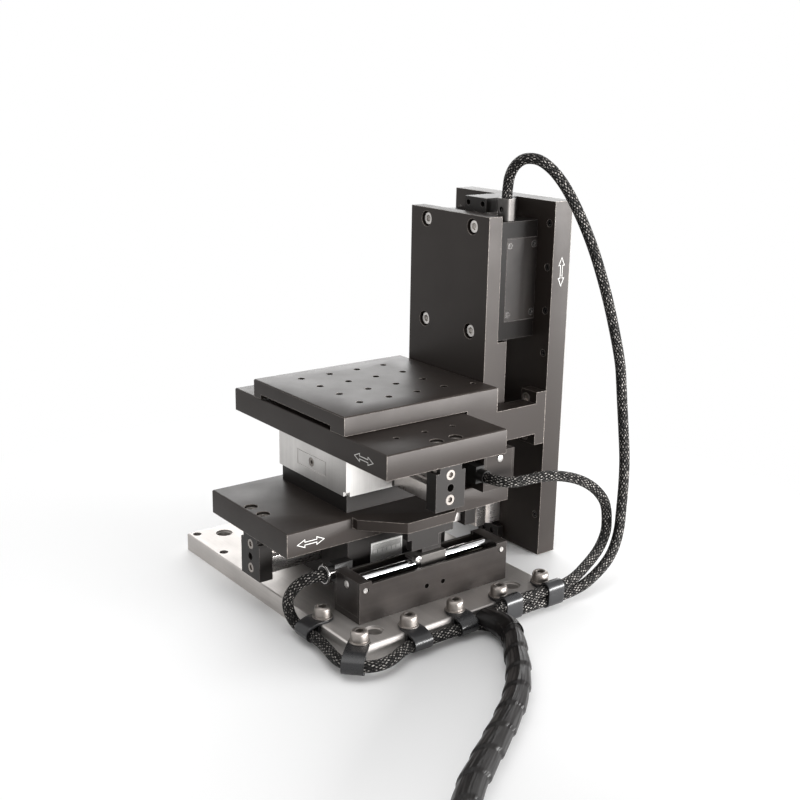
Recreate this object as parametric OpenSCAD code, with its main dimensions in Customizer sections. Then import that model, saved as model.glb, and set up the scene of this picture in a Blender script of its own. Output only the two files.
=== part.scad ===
// Three axis piezo positioning stage: base, crossed X and Y slides, upright Z slide with a fork table.
// Millimetres. Origin at the centre of the base's bottom face, +Z up, X slide along X, Y slide along Y.

/* [Base plate] */
// Length of the base along X
base_l = 105; // [100:1:115]
// Width of the base along Y
base_w = 144; // [138:1:160]
// Thickness of the base
base_t = 8.5; // [7.5:0.5:12]
// Distance between the fixing holes along X
base_hole_x = 75; // [60:1:80]
// Distance between the fixing holes along Y
base_hole_y = 125; // [115:1:126]
// Fixing hole for an M6 screw
base_bore_d = 6.6; // [5.5:0.1:7]
// Recess round the fixing hole
base_cbore_d = 8; // [7.5:0.5:12]
// Depth of that recess
base_cbore_h = 1; // [0.5:0.5:6]
// Distance of the cable clip screws from the edge
edge_inset = 3.5; // [3:0.25:5]
// Distance of the side clip from the corner
side_clip_y = 30; // [26:1:36]

/* [Slide, the same for X and Y] */
// Length of a moving plate
plate_l = 121; // [118:1:126]
// Width of a moving plate
plate_w = 63.5; // [62:0.5:66]
// Thickness of a moving plate
plate_t = 10.8; // [9.8:0.2:13]
// Height from the mounting face to the underside of the moving plate
under_h = 25.6; // [24:0.2:28]
// Length of the guide blocks
guide_l = 54; // [50:1:56]
// Inset of the guide blocks from the plate's long sides
guide_inset = 3.6; // [2.5:0.1:5]
// Free height between guide blocks and moving plate
guide_gap = 0.6; // [0.4:0.1:1]
// Thickness of the foot under the guide blocks
foot_t = 7.5; // [6:0.5:9]
// How far the foot stands back from the guide blocks
foot_inset = 1; // [0.5:0.5:2]
// Width of the centre rail
rail_w = 9.2; // [8.6:0.2:11]
// Offset of the centre rail towards the motor side
rail_offset = 1.4; // [0:0.1:3]
// Free height between the foot and the rail
rail_lift = 0.5; // [0.3:0.1:1]
// Free width between the rail and each guide block
ball_gap = 0.6; // [0.5:0.1:1]
// Diameter of the guide balls
ball_d = 2.5; // [2:0.1:3]
// Width of an end block
end_block_w = 15.5; // [14:0.5:18]
// Depth of an end block along the travel
end_block_d = 6.5; // [5.5:0.5:8]
// Height of an end block
end_block_h = 19.2; // [18:0.2:20]
// Spacing of the screws and tapped holes along the plates
hole_pitch = 15; // [12:0.5:16]

/* [Slide motor, the same for X and Y] */
// Length of the motor channel
channel_l = 80; // [76:1:88]
// Width of the motor channel
channel_w = 18; // [16:0.5:20]
// Height of the motor channel
channel_h = 18.2; // [17:0.2:20]
// Wall of the motor channel
channel_wall = 1.3; // [1:0.1:2]
// Thickness of the channel's end blocks
channel_end_t = 5.5; // [4:0.5:7]
// Length of the channel's high wall at each end
channel_high_l = 6; // [5.5:0.5:10]
// How far the walls between them are lower
channel_step = 1.4; // [0.5:0.1:2]
// Free width between plate and channel
channel_gap = 5.85; // [5:0.05:8]
// Diameter of the drive rod
rod_d = 4.5; // [4:0.1:5.5]
// Height of the rod's axis above the mounting face
rod_h = 15.5; // [13:0.5:16]
// Thickness of the drive tongue
tongue_t = 4.7; // [4:0.1:6]
// Half width of the tongue's tip
tip_half_w = 12.7; // [11:0.1:14]
// Half width of the X tongue where it leaves the plate
x_tongue_half_w = 27.9; // [24:0.1:29]
// Half width of the Y tongue where it leaves the plate
y_tongue_half_w = 21; // [18:0.5:21]
// Cable leaves the X channel at this height above its mounting face
x_gland_h = 16.2; // [13:0.1:17]
// Cable leaves the Y channel at this height above its mounting face
y_gland_h = 9; // [8:0.5:17]

/* [Travel] */
// Rest offset of the X slide from the middle of its travel
x_rest = 1; // [-2:0.5:2]

/* [Z slide] */
// X of the upright's front face
upright_x = 52.8; // [52.5:0.1:54]
// Thickness of the upright
upright_t = 7.7; // [7:0.1:9]
// Extra thickness of the upright's foot
upright_step = 5.5; // [4:0.5:6]
// Width of the upright
upright_w = 56.4; // [54:0.2:56.6]
// Y of the upright's middle
upright_y = 6.7; // [6.5:0.1:7]
// Height of the upright's lower edge above the Y plate's underside
upright_drop = 6.5; // [5:0.5:8]
// Height of the upright's top above the Y plate
upright_h = 83.8; // [82:0.2:90]
// Thickness of the bracket foot on the Y plate
bracket_t = 3.5; // [3:0.1:4]
// Width of the bracket foot
bracket_w = 50; // [44:1:52]
// Height of the Z motor body
z_body_h = 54.1; // [52:0.1:56]
// Distance of the Z body's top below the upright's top
z_body_drop = 2.7; // [2:0.1:4]
// Depth of the Z body along X
z_body_d = 21.9; // [21:0.1:23]
// Free width between the Z body and the tall plate
z_gap = 0.3; // [0.2:0.1:0.6]
// Y of the Z rail's middle
z_rail_y = 1; // [0:0.1:2]
// Depth of the Z rail along X
z_rail_d = 15.7; // [15:0.1:16]
// Thickness of the tall plate
tall_t = 10.7; // [9:0.1:13]
// Width of the tall plate
tall_w = 69.9; // [69.4:0.1:72]
// Y of the tall plate's middle
tall_y = 3.05; // [2.8:0.05:3.2]
// Free height between the Z body and the tall plate's end block at the bottom of its travel
top_gap = 2.6; // [2:0.1:4]
// Free height under the tall plate at the bottom of its travel
tall_lift = 0.75; // [0.5:0.05:1.5]
// Height of the stop at the tall plate's foot, which sets the travel
z_stop_h = 6.45; // [3:0.05:8]

/* [Fork table] */
// Size of the table's slab along X
table_l = 84; // [80:0.25:84]
// Size of the table's slab along Y
table_w = 73.4; // [73:0.1:76]
// Height of the slab's top above the Y plate
table_top = 8.7; // [8.2:0.1:10]
// Free height between slab and Y plate
table_gap = 0.3; // [0.2:0.1:0.5]
// Spacing of the table's tapped holes
table_pitch = 15.5; // [14:0.5:16]
// Tapped hole of the table, M4
table_hole_d = 3.3; // [3:0.1:4.2]
// Width of the near arm
arm_w = 9.4; // [8:0.2:9.4]
// Width of the far arm
far_arm_w = 6; // [5:0.2:6]
// Height of an arm
arm_h = 14.8; // [12:0.2:14.8]
// Thickness of the flange at an arm's end
flange_t = 6; // [5:0.5:8]
// Height of that flange
flange_h = 25.7; // [24:0.1:28]

/* [Cables] */
// Diameter of a braided lead
lead_d = 4.8; // [4:0.1:4.8]
// Diameter of the wrapped trunk
trunk_d = 10.4; // [10.4:0.1:11]
// Wall of a cable clip
clip_t = 1; // [0.8:0.1:1.2]
// Width of a cable clip
clip_w = 9; // [7:0.5:10]
// Number of coil loops in each layer
coil_loops = 2; // [1:1:3]
// Radius of the coil's first loop
coil_r = 64; // [56:1:75]

/* [Hidden] */
$fn = 48;
// Small overshoot of every cut
e = 0.1;
// Clearance of a shaft in its bore, on the diameter
fit = 0.1;
// Clearance of a screw in its bore, on the diameter
play = 0.4;
// Width of the bright chamfer along the top edges
chamfer = 0.5;

// Derived sizes of the slides
stage_h = under_h + plate_t;
guide_h = under_h - guide_gap - foot_t;
rail_z = foot_t + rail_lift;
rail_h = under_h - rail_z;
rail_l = plate_l - 2 * end_block_d;
ball_z = rail_z + rail_h / 2;
guide_face_y = plate_w / 2 - guide_inset;
outer_guide_w = guide_face_y + rail_offset - rail_w / 2 - ball_gap;
motor_guide_w = guide_face_y - rail_offset - rail_w / 2 - ball_gap;
groove = ball_d + fit;
cage_l = guide_l / 2;
cage_t = ball_gap / 2;
channel_y = -plate_w / 2 - channel_gap - channel_w / 2;
slider_z = rod_h - 3.8;
slider = [13.5, 8, rod_h + 4.2 - slider_z];
slider_x = 1.75;
slider_top = slider_z + slider[2];
arm_top = stage_h - tongue_t;
arm_front_y = channel_y - 3.4;
tip_y = arm_front_y - 0.3;
arm_bottom = slider_top + 3.1;
arm_step = stage_h - 8.5;
m3 = 3;
m3_head = [5.5, 3];
m4 = 4;
m4_head = [7, 4];
guide_screw_x = guide_l / 2 - 8;
guide_screw_y = [guide_face_y - outer_guide_w / 2, -guide_face_y + motor_guide_w / 2];
guide_cbore_z = foot_t + guide_h - 5;
plate_screw_x = plate_l / 2 - 3.8;

// Heights of the stacked slides
x_face_z = base_t;
y_face_z = base_t + stage_h;
y_top_z = y_face_z + stage_h;

// Derived sizes of the Z slide
upright_top = y_top_z + upright_h;
upright_z = y_top_z - plate_t + upright_drop;
upright_back = upright_x + upright_t;
z_body_top = upright_top - z_body_drop;
z_body_z = z_body_top - z_body_h;
z_body_back = upright_back + z_body_d;
tall_x = z_body_back + z_gap;
z_rail_top = z_body_top + top_gap;
tall_top = z_rail_top + end_block_d;
tall_l = tall_top - tall_lift;
z_rail_bottom = base_t + 1;
z_rail_x = tall_x - z_rail_d;
z_ball_x = z_rail_x + z_rail_d / 2 - 0.5;
z_near_y = upright_y - upright_w / 2 + 0.3;
z_far_y = upright_y + upright_w / 2;
z_motor_w = z_rail_y - rail_w / 2 - ball_gap - z_near_y;
z_guide_w = z_far_y - z_rail_y - rail_w / 2 - ball_gap;
z_stop_z = tall_lift + 0.6;
z_stop_gap = 0.5;
z_travel = z_body_z - z_stop_gap - z_stop_h - z_stop_z;
z_stop_d = 3.5;
z_block_d = tall_x - upright_back - 3;
bracket_x = -25.5;
tenon = 3;
upright_screw_y = [upright_y - 16.6, upright_y + 16.6];
upright_screw_z = [z_body_z + 3.5, z_body_top - 2.6];
upright_cbore_h = 4.2;
upright_cbore_d = 7.2;
cover = [18.4, 1.2, 38];
cover_x = upright_back + 12.9;
cover_z = z_body_z + 27.4;
clamp_pos = [67.5, -16];

// Derived sizes of the table
table_y = 4.8;
table_z = y_top_z + table_gap;
table_top_z = y_top_z + table_top;
table_end_x = upright_x - 0.3;
table_x = table_end_x - table_l;
arm_y = tall_y - tall_w / 2;
far_arm_y = table_y + table_w / 2 - far_arm_w;
arm_z = y_face_z + channel_h + 0.5;
drop_x = table_end_x - 17.8;
pocket_gap = 0.4;
fork_sink = 2.6;

// Places of the clips, screw position and direction towards the lead
clip_reach = edge_inset + 4;
edge_x = base_l / 2 - edge_inset;
edge_y = -base_w / 2 + edge_inset;
clip_pitch = edge_x / 2;
clip_low = 3.95;
clip_high = 8.85;
clip_single = 4.7;

// Routes of the leads, chosen by hand
x_route = [
  [-44.5, -35.6, 24.7], [-47.4, -35.4, 24.7], [-51.2, -34.2, 23.9], [-54.6, -32.3, 21.6], [-57, -30.4, 17.8],
  [-57.9, -29.3, 13.4], [-57.8, -29.9, 10], [-57.5, -31.8, 7.2], [-57.1, -34.5, 5.4], [-56.7, -37.8, 4.7],
  [-56.5, -42, 4.7], [-56.5, -47, 4.7], [-56.9, -53, 4.7], [-58.2, -60, 4.9], [-59.6, -66.5, 5.1],
  [-59.8, -72, 5.2], [-57.8, -77, 5.2], [-54, -80.4, 5.2], [-48.8, -81.9, 5], [-42, -80.8, 4.8],
  [-35, -77.8, 4.7], [-29, -76.1, 4.7], [-20, -76, 4.7], [-5, -76, 4.7], [2.6, -76, 4.6],
  [5.6, -76.5, 4.3], [8.25, -78.05, 4], [10.05, -80.1, 3.8]
];
y_route_upper = [
  [36.5, -44.5, 53.9], [36.7, -47.6, 53.9], [38.6, -51.6, 53.7], [42.4, -54.4, 53.4], [48.5, -55.8, 53.4],
  [56, -57, 53.7], [63, -58.5, 53.4], [69.5, -60, 52.2], [77, -61, 49.6], [84.2, -62, 45.6],
  [89.6, -62.9, 40.8], [92.9, -63.6, 36], [94.2, -64, 31.5]
];
y_route_lower = [
  [94.2, -64, 31.5], [94.1, -64.6, 27.2], [92.7, -65.8, 22.8], [89.2, -67.2, 18.6], [84.6, -68.8, 15.6],
  [79.6, -70.3, 13.5], [73.6, -72.1, 11.8], [67.2, -74, 10.3], [60.8, -75.4, 9.3], [53.5, -76, 8.85],
  [44.5, -76, 8.85], [32, -76, 8.85], [22.6, -76, 8.85], [19.6, -76.5, 8.8], [16.95, -78.05, 8.7],
  [15.15, -80.1, 8.65]
];
z_route_upper = [
  [67.5, -16, 172.5], [67.4, -16.4, 177], [66, -19, 182.6], [64.8, -24, 187.8], [65.2, -29.6, 190.8],
  [68.2, -34.4, 190.6], [72.6, -37.6, 187.2], [77.4, -40.4, 181.2], [83.4, -43.8, 170.4], [90.4, -48, 153.6],
  [96.6, -52.2, 133], [100.9, -56.2, 112], [102.4, -58.8, 99], [102.8, -60, 90]
];
z_route_lower = [
  [102.8, -60, 90], [103, -61, 82], [102.8, -63.2, 69], [101.7, -66, 56], [100, -68, 44.6],
  [98, -69.5, 32.5], [96.6, -70.4, 25.2], [93.8, -71.5, 19], [89.4, -72.9, 14.2], [83.2, -74.5, 10.8],
  [75.4, -75.9, 7.9], [68, -76.8, 5.9], [60.6, -76.4, 4.4], [53.5, -76, 3.95], [44.5, -76, 3.95],
  [32, -76, 3.95], [22.6, -76, 3.95], [19.6, -76.5, 3.9], [16.95, -78.05, 3.85], [15.15, -80.1, 3.8]
];
trunk_route = [
  [12.6, -80.1, 5.2], [12.6, -84, 5.2], [11.9, -88, 5.2], [10, -93, 5.2], [6.6, -98.4, 5.2],
  [1.6, -104.8, 5.2], [-8, -117, 5.2], [-22.5, -131, 5.2], [-40, -143.5, 5.2], [-57, -154.3, 5.2],
  [-72, -164.2, 5.2], [-83, -173.8, 5.2], [-91.4, -185.8, 5.3], [-96.7, -199.4, 5.5], [-98.5, -214, 5.7],
  [-98.5, -238, 5.9], [-98.5, -262, 6.1], [-98.5, -294, 6.1]
];

// The coil: start, heading and pitches
coil_lift = 0.9;
coil_start = [-98.5, -294, trunk_d / 2 + coil_lift];
coil_heading = 270;
coil_pitch = trunk_d + 0.6;
coil_top_loops = coil_loops - 0.7;
coil_rings = 20;
coil_center = [
  coil_start[0] + trunk_d * cos(coil_heading) - coil_r * sin(coil_heading),
  coil_start[1] + trunk_d * sin(coil_heading) + coil_r * cos(coil_heading)
];
coil_in = coil_r - coil_pitch * coil_loops;
coil_turns = coil_loops + 0.5 + coil_top_loops;

function coil_radius(t) =
  t <= coil_loops ? coil_r - coil_pitch * t :
  t <= coil_loops + 0.25 ? coil_in - coil_pitch * (t - coil_loops) :
  t <= coil_loops + 0.5 ? coil_in - coil_pitch * (coil_loops + 0.5 - t) :
  coil_in + coil_pitch * (t - coil_loops - 0.5);
function coil_height(t) =
  coil_start[2] + coil_pitch * min(1, max(0, 2 * (t - coil_loops)));
function coil_angle(t) = coil_heading - 90 + 360 * t;
function coil_point(t) = [
  coil_center[0] + coil_radius(t) * cos(coil_angle(t)),
  coil_center[1] + coil_radius(t) * sin(coil_angle(t)),
  coil_height(t)
];
coil_end_dir = [-sin(coil_angle(coil_turns)), cos(coil_angle(coil_turns)), 0];
coil_end = coil_point(coil_turns) + trunk_d * coil_end_dir;
coil_route = concat(
  [coil_start],
  [for (i = [0 : round(coil_turns * coil_rings)]) coil_point(i / coil_rings)],
  [coil_end]
);
coil_gap = min([
  for (i = [0 : len(coil_route) - 1], j = [i + coil_rings / 2 : len(coil_route) - 1])
    norm(coil_route[i] - coil_route[j])
]) - trunk_d;
echo(str("Least gap of the coil to itself: ", coil_gap, " mm"));

// A tube along a route: ring directions are carried from ring to ring without twist
function unit(v) = v / norm(v);
function route_dirs(p) =
  [for (i = [0 : len(p) - 1]) unit(p[min(i + 1, len(p) - 1)] - p[max(i - 1, 0)])];
function side_dirs(dirs, i, side) =
  i == len(dirs) ? [] :
  let (s = unit(side - (side * dirs[i]) * dirs[i])) concat([s], side_dirs(dirs, i + 1, s));

module tube(route, d, sides, first = undef, last = undef) {
  raw = route_dirs(route);
  n = len(route);
  dirs = [
    for (i = [0 : n - 1])
      i == 0 && first != undef ? first : i == n - 1 && last != undef ? last : raw[i]
  ];
  across = side_dirs(dirs, 0, abs(dirs[0][2]) > 0.7 ? [1, 0, 0] : [0, 0, 1]);
  points = [
    for (i = [0 : n - 1], k = [0 : sides - 1])
      route[i] + d / 2 * (cos(360 * k / sides) * across[i] + sin(360 * k / sides) * cross(dirs[i], across[i]))
  ];
  walls = [
    for (i = [0 : n - 2], k = [0 : sides - 1])
      let (a = i * sides + k, b = i * sides + (k + 1) % sides)
        each [[a, a + sides, b], [b, a + sides, b + sides]]
  ];
  tail = (n - 1) * sides;
  caps = [for (k = [1 : sides - 2]) each [[0, k, k + 1], [tail, tail + k + 1, tail + k]]];
  polyhedron(points, concat(walls, caps), convexity = 10);
}

// Shared pieces

// A socket head screw that points down, with its head's underside at z = 0
module socket_screw(d, head, len) {
  difference() {
    union() {
      cylinder(d = head[0], h = head[1]);
      translate([0, 0, -len]) cylinder(d = d, h = len + e);
    }
    translate([0, 0, head[1] - head[1] / 2]) cylinder(d = d * 0.75 / cos(30), h = head[1], $fn = 6);
  }
}

// A counterbored hole that opens upwards at z = 0 and runs down through len
module counterbore(d, head_d, depth, len) {
  translate([0, 0, -len - e]) cylinder(d = d, h = len + 2 * e);
  translate([0, 0, -depth]) cylinder(d = head_d, h = depth + e);
}

// A block with a narrow chamfer round its top face
module plate_block(size) {
  hull() {
    cube([size[0], size[1], size[2] - chamfer]);
    translate([chamfer, chamfer, 0]) cube([size[0] - 2 * chamfer, size[1] - 2 * chamfer, size[2]]);
  }
}

// Square bars that leave the V grooves for the balls, along X through the rail's two sides
module groove_bars(len) {
  for (side = [-1, 1])
    translate([0, -rail_offset + side * (rail_w + ball_gap) / 2, ball_z])
      rotate([45, 0, 0]) cube([len, groove, groove], center = true);
}

// One slide in its own frame: travel along X, motor on the -Y side, mounting face at z = 0

module slide_foot() {
  l = guide_l - 2 * foot_inset;
  w = 2 * (guide_face_y - foot_inset);
  difference() {
    translate([-l / 2, -w / 2, 0]) cube([l, w, foot_t]);
    guide_holes(-e, foot_t + 2 * e);
  }
}

module guide_holes(z, h) {
  for (x = [-1, 1], y = guide_screw_y)
    translate([x * guide_screw_x, y, z]) cylinder(d = m4 + play, h = h);
}

module guide_block(y, w) {
  difference() {
    translate([-guide_l / 2, y, foot_t]) cube([guide_l, w, guide_h]);
    groove_bars(guide_l + 2);
    guide_holes(foot_t - e, guide_h + 2 * e);
    for (x = [-1, 1], sy = guide_screw_y)
      translate([x * guide_screw_x, sy, guide_cbore_z]) cylinder(d = m4_head[0] + 1, h = guide_h);
  }
}

module slide_outer_guide() {
  window = [22.7, 0.3, 7.1];
  difference() {
    guide_block(guide_face_y - outer_guide_w, outer_guide_w);
    translate([-guide_l / 2 - e, guide_face_y - 2, foot_t - e]) cube([2 + e, 2 + e, 2 + e]);
    difference() {
      translate([-window[0] / 2, guide_face_y - window[1], ball_z - window[2] / 2 - 1])
        cube([window[0], 1, window[2]]);
      translate([-window[0] / 2 + 0.5, guide_face_y - 1, ball_z - window[2] / 2 - 0.5])
        cube([window[0] - 1, 2, window[2] - 1]);
    }
    translate([0, guide_face_y - 2.2, ball_z - 1]) rotate([-90, 0, 0]) cylinder(d = 4.2, h = 3);
  }
}

module slide_motor_guide() {
  guide_block(-guide_face_y, motor_guide_w);
}

module slide_guide_screws() {
  for (x = [-1, 1], y = guide_screw_y)
    translate([x * guide_screw_x, y, guide_cbore_z]) socket_screw(m4, m4_head, guide_cbore_z + 5);
  translate([0, guide_face_y - 2.2 + 0.05, ball_z - 1]) rotate([-90, 0, 0]) difference() {
    cylinder(d = 4, h = 2);
    translate([0, 0, 1]) cylinder(d = 2, h = 2, $fn = 6);
  }
}

module slide_channel() {
  inner = channel_w - 2 * channel_wall;
  floor_t = 3;
  difference() {
    translate([-channel_l / 2, channel_y - channel_w / 2, 0]) cube([channel_l, channel_w, channel_h]);
    translate([-channel_l / 2 - e, channel_y - inner / 2, floor_t])
      cube([channel_l + 2 * e, inner, channel_h]);
    translate([-channel_l / 2 + channel_high_l, channel_y - channel_w, channel_h - channel_step])
      cube([channel_l - 2 * channel_high_l, 2 * channel_w, channel_h]);
    for (x = [-5, 3.8])
      translate([x, channel_y - channel_w / 2 - e, 8.2]) rotate([-90, 0, 0])
        cylinder(d = 2.2, h = channel_wall + 2 * e);
    for (x = [-1, 1])
      translate([x * (channel_l / 2 - 4), channel_y - channel_w / 2 - e, 14.4])
        rotate([-90, 0, 0]) cylinder(d = 1.6, h = channel_wall + 2 * e);
  }
}

module slide_channel_ends() {
  inner = channel_w - 2 * channel_wall;
  for (side = [-1, 1])
    difference() {
      translate([side > 0 ? channel_l / 2 - channel_end_t : -channel_l / 2, channel_y - inner / 2, 3])
        cube([channel_end_t, inner, channel_h - 3]);
      translate([side * (channel_l / 2 - channel_end_t + 2), channel_y, rod_h])
        rotate([0, -side * 90, 0]) cylinder(d = rod_d + fit, h = channel_end_t);
      translate([side * (channel_l / 2 + e), channel_y, rod_h])
        rotate([0, -side * 90, 0]) cylinder(d = 1.8, h = channel_end_t);
      translate([side * (channel_l / 2 - channel_end_t) - 2, channel_y - 3, 5]) cube([4, 6, 6]);
    }
}

module slide_rod() {
  half = channel_l / 2 - channel_end_t + 2 - fit;
  translate([-half, channel_y, rod_h]) rotate([0, 90, 0]) cylinder(d = rod_d, h = 2 * half);
}

// Piezo stack with its preload plate, beside an end block and under the slider's way
module slide_piezo_stack() {
  x = channel_l / 2 - channel_end_t;
  translate([x - 6, channel_y - 2.8, 5.2]) cube([7.9, 5.6, 5.6]);
  translate([x - 7.5, channel_y - 2, 3]) cube([1.5, 4, slider_z - 3.4]);
}

module slide_moving_plate(tongue_half_w, tapped) {
  hole_x = plate_l / 2 - 16.3;
  difference() {
    union() {
      translate([-plate_l / 2, -plate_w / 2, under_h]) plate_block([plate_l, plate_w, plate_t]);
      translate([0, 0, arm_top]) linear_extrude(tongue_t) tongue_outline(tongue_half_w);
    }
    for (sx = [-1, 1], sy = [-5.05, 5.05])
      translate([sx * plate_screw_x, -rail_offset + sy, stage_h]) counterbore(m3 + play, 5.8, 4, plate_t);
    if (tapped) for (sx = [-1, 1], step = [0, 1], sy = [-1, 0, 1])
      translate([sx * (hole_x - step * hole_pitch), sy * hole_pitch, stage_h - 7])
        cylinder(d = 2.5, h = 7 + e);
  }
}

module tongue_outline(half_w) {
  reach = -plate_w / 2 - tip_y;
  slope = half_w - tip_half_w;
  polygon([
    [-half_w, -plate_w / 2 + 2], [-half_w, -plate_w / 2 - reach + slope], [-tip_half_w, tip_y],
    [tip_half_w, tip_y], [half_w, -plate_w / 2 - reach + slope], [half_w, -plate_w / 2 + 2]
  ]);
}

module slide_rail() {
  difference() {
    translate([-rail_l / 2, -rail_offset - rail_w / 2, rail_z]) cube([rail_l, rail_w, rail_h]);
    groove_bars(rail_l + 2);
    for (side = [-1, 1], z = end_screw_z())
      translate([side * (rail_l / 2 - 7), -rail_offset, z]) rotate([0, side * 90, 0])
        cylinder(d = m3 + fit, h = 8);
  }
}

function end_screw_z() = [under_h - end_block_h + 4.3, under_h - 3.9];

module slide_end_blocks() {
  for (side = [-1, 1])
    translate([side * (plate_l / 2 - end_block_d / 2), -rail_offset, 0]) difference() {
      translate([-end_block_d / 2, -end_block_w / 2, under_h - end_block_h])
        cube([end_block_d, end_block_w, end_block_h]);
      for (s = [-1, 1])
        translate([-end_block_d, s * end_block_w / 2 - 2, under_h - 2.4]) cube([2 * end_block_d, 4, 4]);
      for (z = end_screw_z()) {
        translate([-side * end_block_d, 0, z]) rotate([0, side * 90, 0]) cylinder(d = m3 + play, h = 20);
        translate([side * (end_block_d / 2 - 2.4), 0, z]) rotate([0, side * 90, 0]) cylinder(d = 4.8, h = 3);
      }
      translate([side * (end_block_d / 2 - 4), 0, under_h - end_block_h / 2])
        rotate([0, side * 90, 0]) cylinder(d = 3.4, h = 5);
      for (s = [-5.05, 5.05])
        translate([side * (plate_screw_x - plate_l / 2 + end_block_d / 2), s, under_h - 5])
          cylinder(d = m3 + fit, h = 6);
    }
}

module slide_end_screws() {
  for (side = [-1, 1], z = end_screw_z())
    translate([side * (plate_l / 2 - 2.4), -rail_offset, z]) rotate([0, side * 90, 0])
      socket_screw(m3, [4.5, 2.3], 9);
  for (side = [-1, 1], s = [-5.05, 5.05])
    translate([side * plate_screw_x, -rail_offset + s, stage_h - 4])
      socket_screw(m3, m3_head, plate_t - 4 + 4.5);
}

// Arm that hangs from the tongue, with a stem that stands on the slider behind it
module slide_arm() {
  t = 4;
  translate([-tip_half_w + 0.3, arm_front_y, arm_step])
    cube([2 * tip_half_w - 0.6, t, arm_top - arm_step]);
  translate([-10.2, arm_front_y, arm_bottom]) cube([14.7, t, arm_step - arm_bottom + e]);
  translate([slider_x - 4.5, channel_y - 1, slider_top]) cube([10.5, t, arm_step - slider_top + 1]);
}

// Slider on the rod, with an ear over the rod that holds the clamp pin
module slide_rod_slider() {
  front_y = channel_y - slider[1] / 2 + 0.6;
  ear = [3.8, slider[1] - 2.4, 1.6];
  left = slider_x - slider[0] / 2;
  difference() {
    translate([left, front_y, slider_z]) cube([slider[0], slider[1] - 0.2, slider[2]]);
    translate([slider_x - slider[0], channel_y, rod_h]) rotate([0, 90, 0])
      cylinder(d = rod_d + fit, h = 2 * slider[0]);
    translate([slider_x - 0.4, channel_y, slider_z - e]) cube([0.8, slider[1], slider[2] / 2]);
  }
  translate([left - ear[0], front_y + 1, slider_top - ear[2]]) cube([ear[0] + 1, ear[1], ear[2]]);
  translate([left - 2, front_y - 0.6, slider_top - 1.2]) rotate([-90, 0, 0]) cylinder(d = 3.6, h = 1.8);
}

module slide_gland(h, ring_d) {
  stub = 4.5;
  y = channel_y + channel_w / 2 + 2;
  difference() {
    translate([-channel_l / 2, channel_y + channel_w / 2, h - 4]) cube([9, 4.6, 8]);
    translate([-channel_l / 2 - e, y, h]) rotate([0, 90, 0]) cylinder(d = 3, h = 6);
  }
  translate([-channel_l / 2, y, h]) rotate([0, -90, 0]) difference() {
    union() {
      translate([0, 0, -e]) cylinder(d = 5.6, h = stub + e);
      translate([0, 0, stub - 1.2]) cylinder(d = ring_d, h = 1.2);
    }
    translate([0, 0, -1]) cylinder(d = 3, h = stub - 0.5);
  }
}

// Two cages, each a strip with its balls
module slide_ball_cage() {
  pitch = 4.4;
  for (side = [-1, 1])
    translate([0, -rail_offset + side * (rail_w + ball_gap) / 2, ball_z]) {
      cube([cage_l, cage_t, 3.4], center = true);
      for (i = [-2.5 : 2.5]) translate([i * pitch, 0, 0]) sphere(d = ball_d, $fn = 24);
    }
}

module place_x() {
  translate([0, 0, x_face_z]) children();
}

module place_x_moving() {
  translate([x_rest, 0, x_face_z]) children();
}

module place_y() {
  translate([x_rest, 0, y_face_z]) rotate([0, 0, 90]) children();
}

// Base

function clip_places() = [
  [-edge_x, -base_w / 2 + side_clip_y, 180, clip_reach, 0],
  [-edge_x, edge_y, 224, clip_reach + 4.7, 0],
  [-clip_pitch, edge_y, 270, clip_reach, 0],
  [0, edge_y, 270, clip_reach, 0],
  [clip_pitch, edge_y, 270, clip_reach, 1],
  [edge_x, edge_y, 270, clip_reach, 1]
];
function spare_hole_places() = [[-edge_x, base_w / 2 - side_clip_y], [-edge_x, -edge_y], [edge_x, -edge_y]];

module base_plate() {
  color([0.86, 0.84, 0.82]) difference() {
    translate([-base_l / 2, -base_w / 2, 0]) plate_block([base_l, base_w, base_t]);
    for (x = [-1, 1], y = [-1, 1])
      translate([x * base_hole_x / 2, y * base_hole_y / 2, base_t])
        counterbore(base_bore_d, base_cbore_d, base_cbore_h, base_t);
    for (c = clip_places()) translate([c[0], c[1], -e]) cylinder(d = m4 + fit, h = base_t + 2 * e);
    for (c = spare_hole_places()) translate([c[0], c[1], -e]) cylinder(d = m4 + fit, h = base_t + 2 * e);
    for (x = [-1, 1], y = guide_screw_y)
      translate([x * guide_screw_x, y, base_t - 5.5]) cylinder(d = m4 + fit, h = 6);
  }
}

module clip_ring(d, low, high) {
  translate([0, low]) circle(d = d);
  if (high > low) {
    translate([0, high]) circle(d = d);
    translate([-d / 2, low]) square([d, high - low]);
  }
}

module clip(reach, pair) {
  inner_d = lead_d + 1;
  low = pair ? clip_low : clip_single;
  high = pair ? clip_high : clip_single;
  difference() {
    rotate([90, 0, 0]) translate([0, 0, -clip_w / 2]) linear_extrude(clip_w) difference() {
      union() {
        translate([reach, 0]) clip_ring(inner_d + 2 * clip_t, low, high);
        translate([-clip_w / 2, base_t]) square([reach + clip_w / 2, clip_t + 0.2]);
      }
      translate([reach, 0]) clip_ring(inner_d, low, high);
    }
    translate([0, 0, base_t - e]) cylinder(d = m4 + play, h = 2);
  }
}

module cable_clips() {
  color([0.12, 0.12, 0.12])
    for (c = clip_places()) translate([c[0], c[1], 0]) rotate([0, 0, c[2]]) clip(c[3], c[4] > 0);
}

module clip_screws() {
  color([0.8, 0.8, 0.8])
    for (c = clip_places()) translate([c[0], c[1], base_t + clip_t + 0.2])
      socket_screw(m4, [7.2, 5.2], base_t);
}

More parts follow.
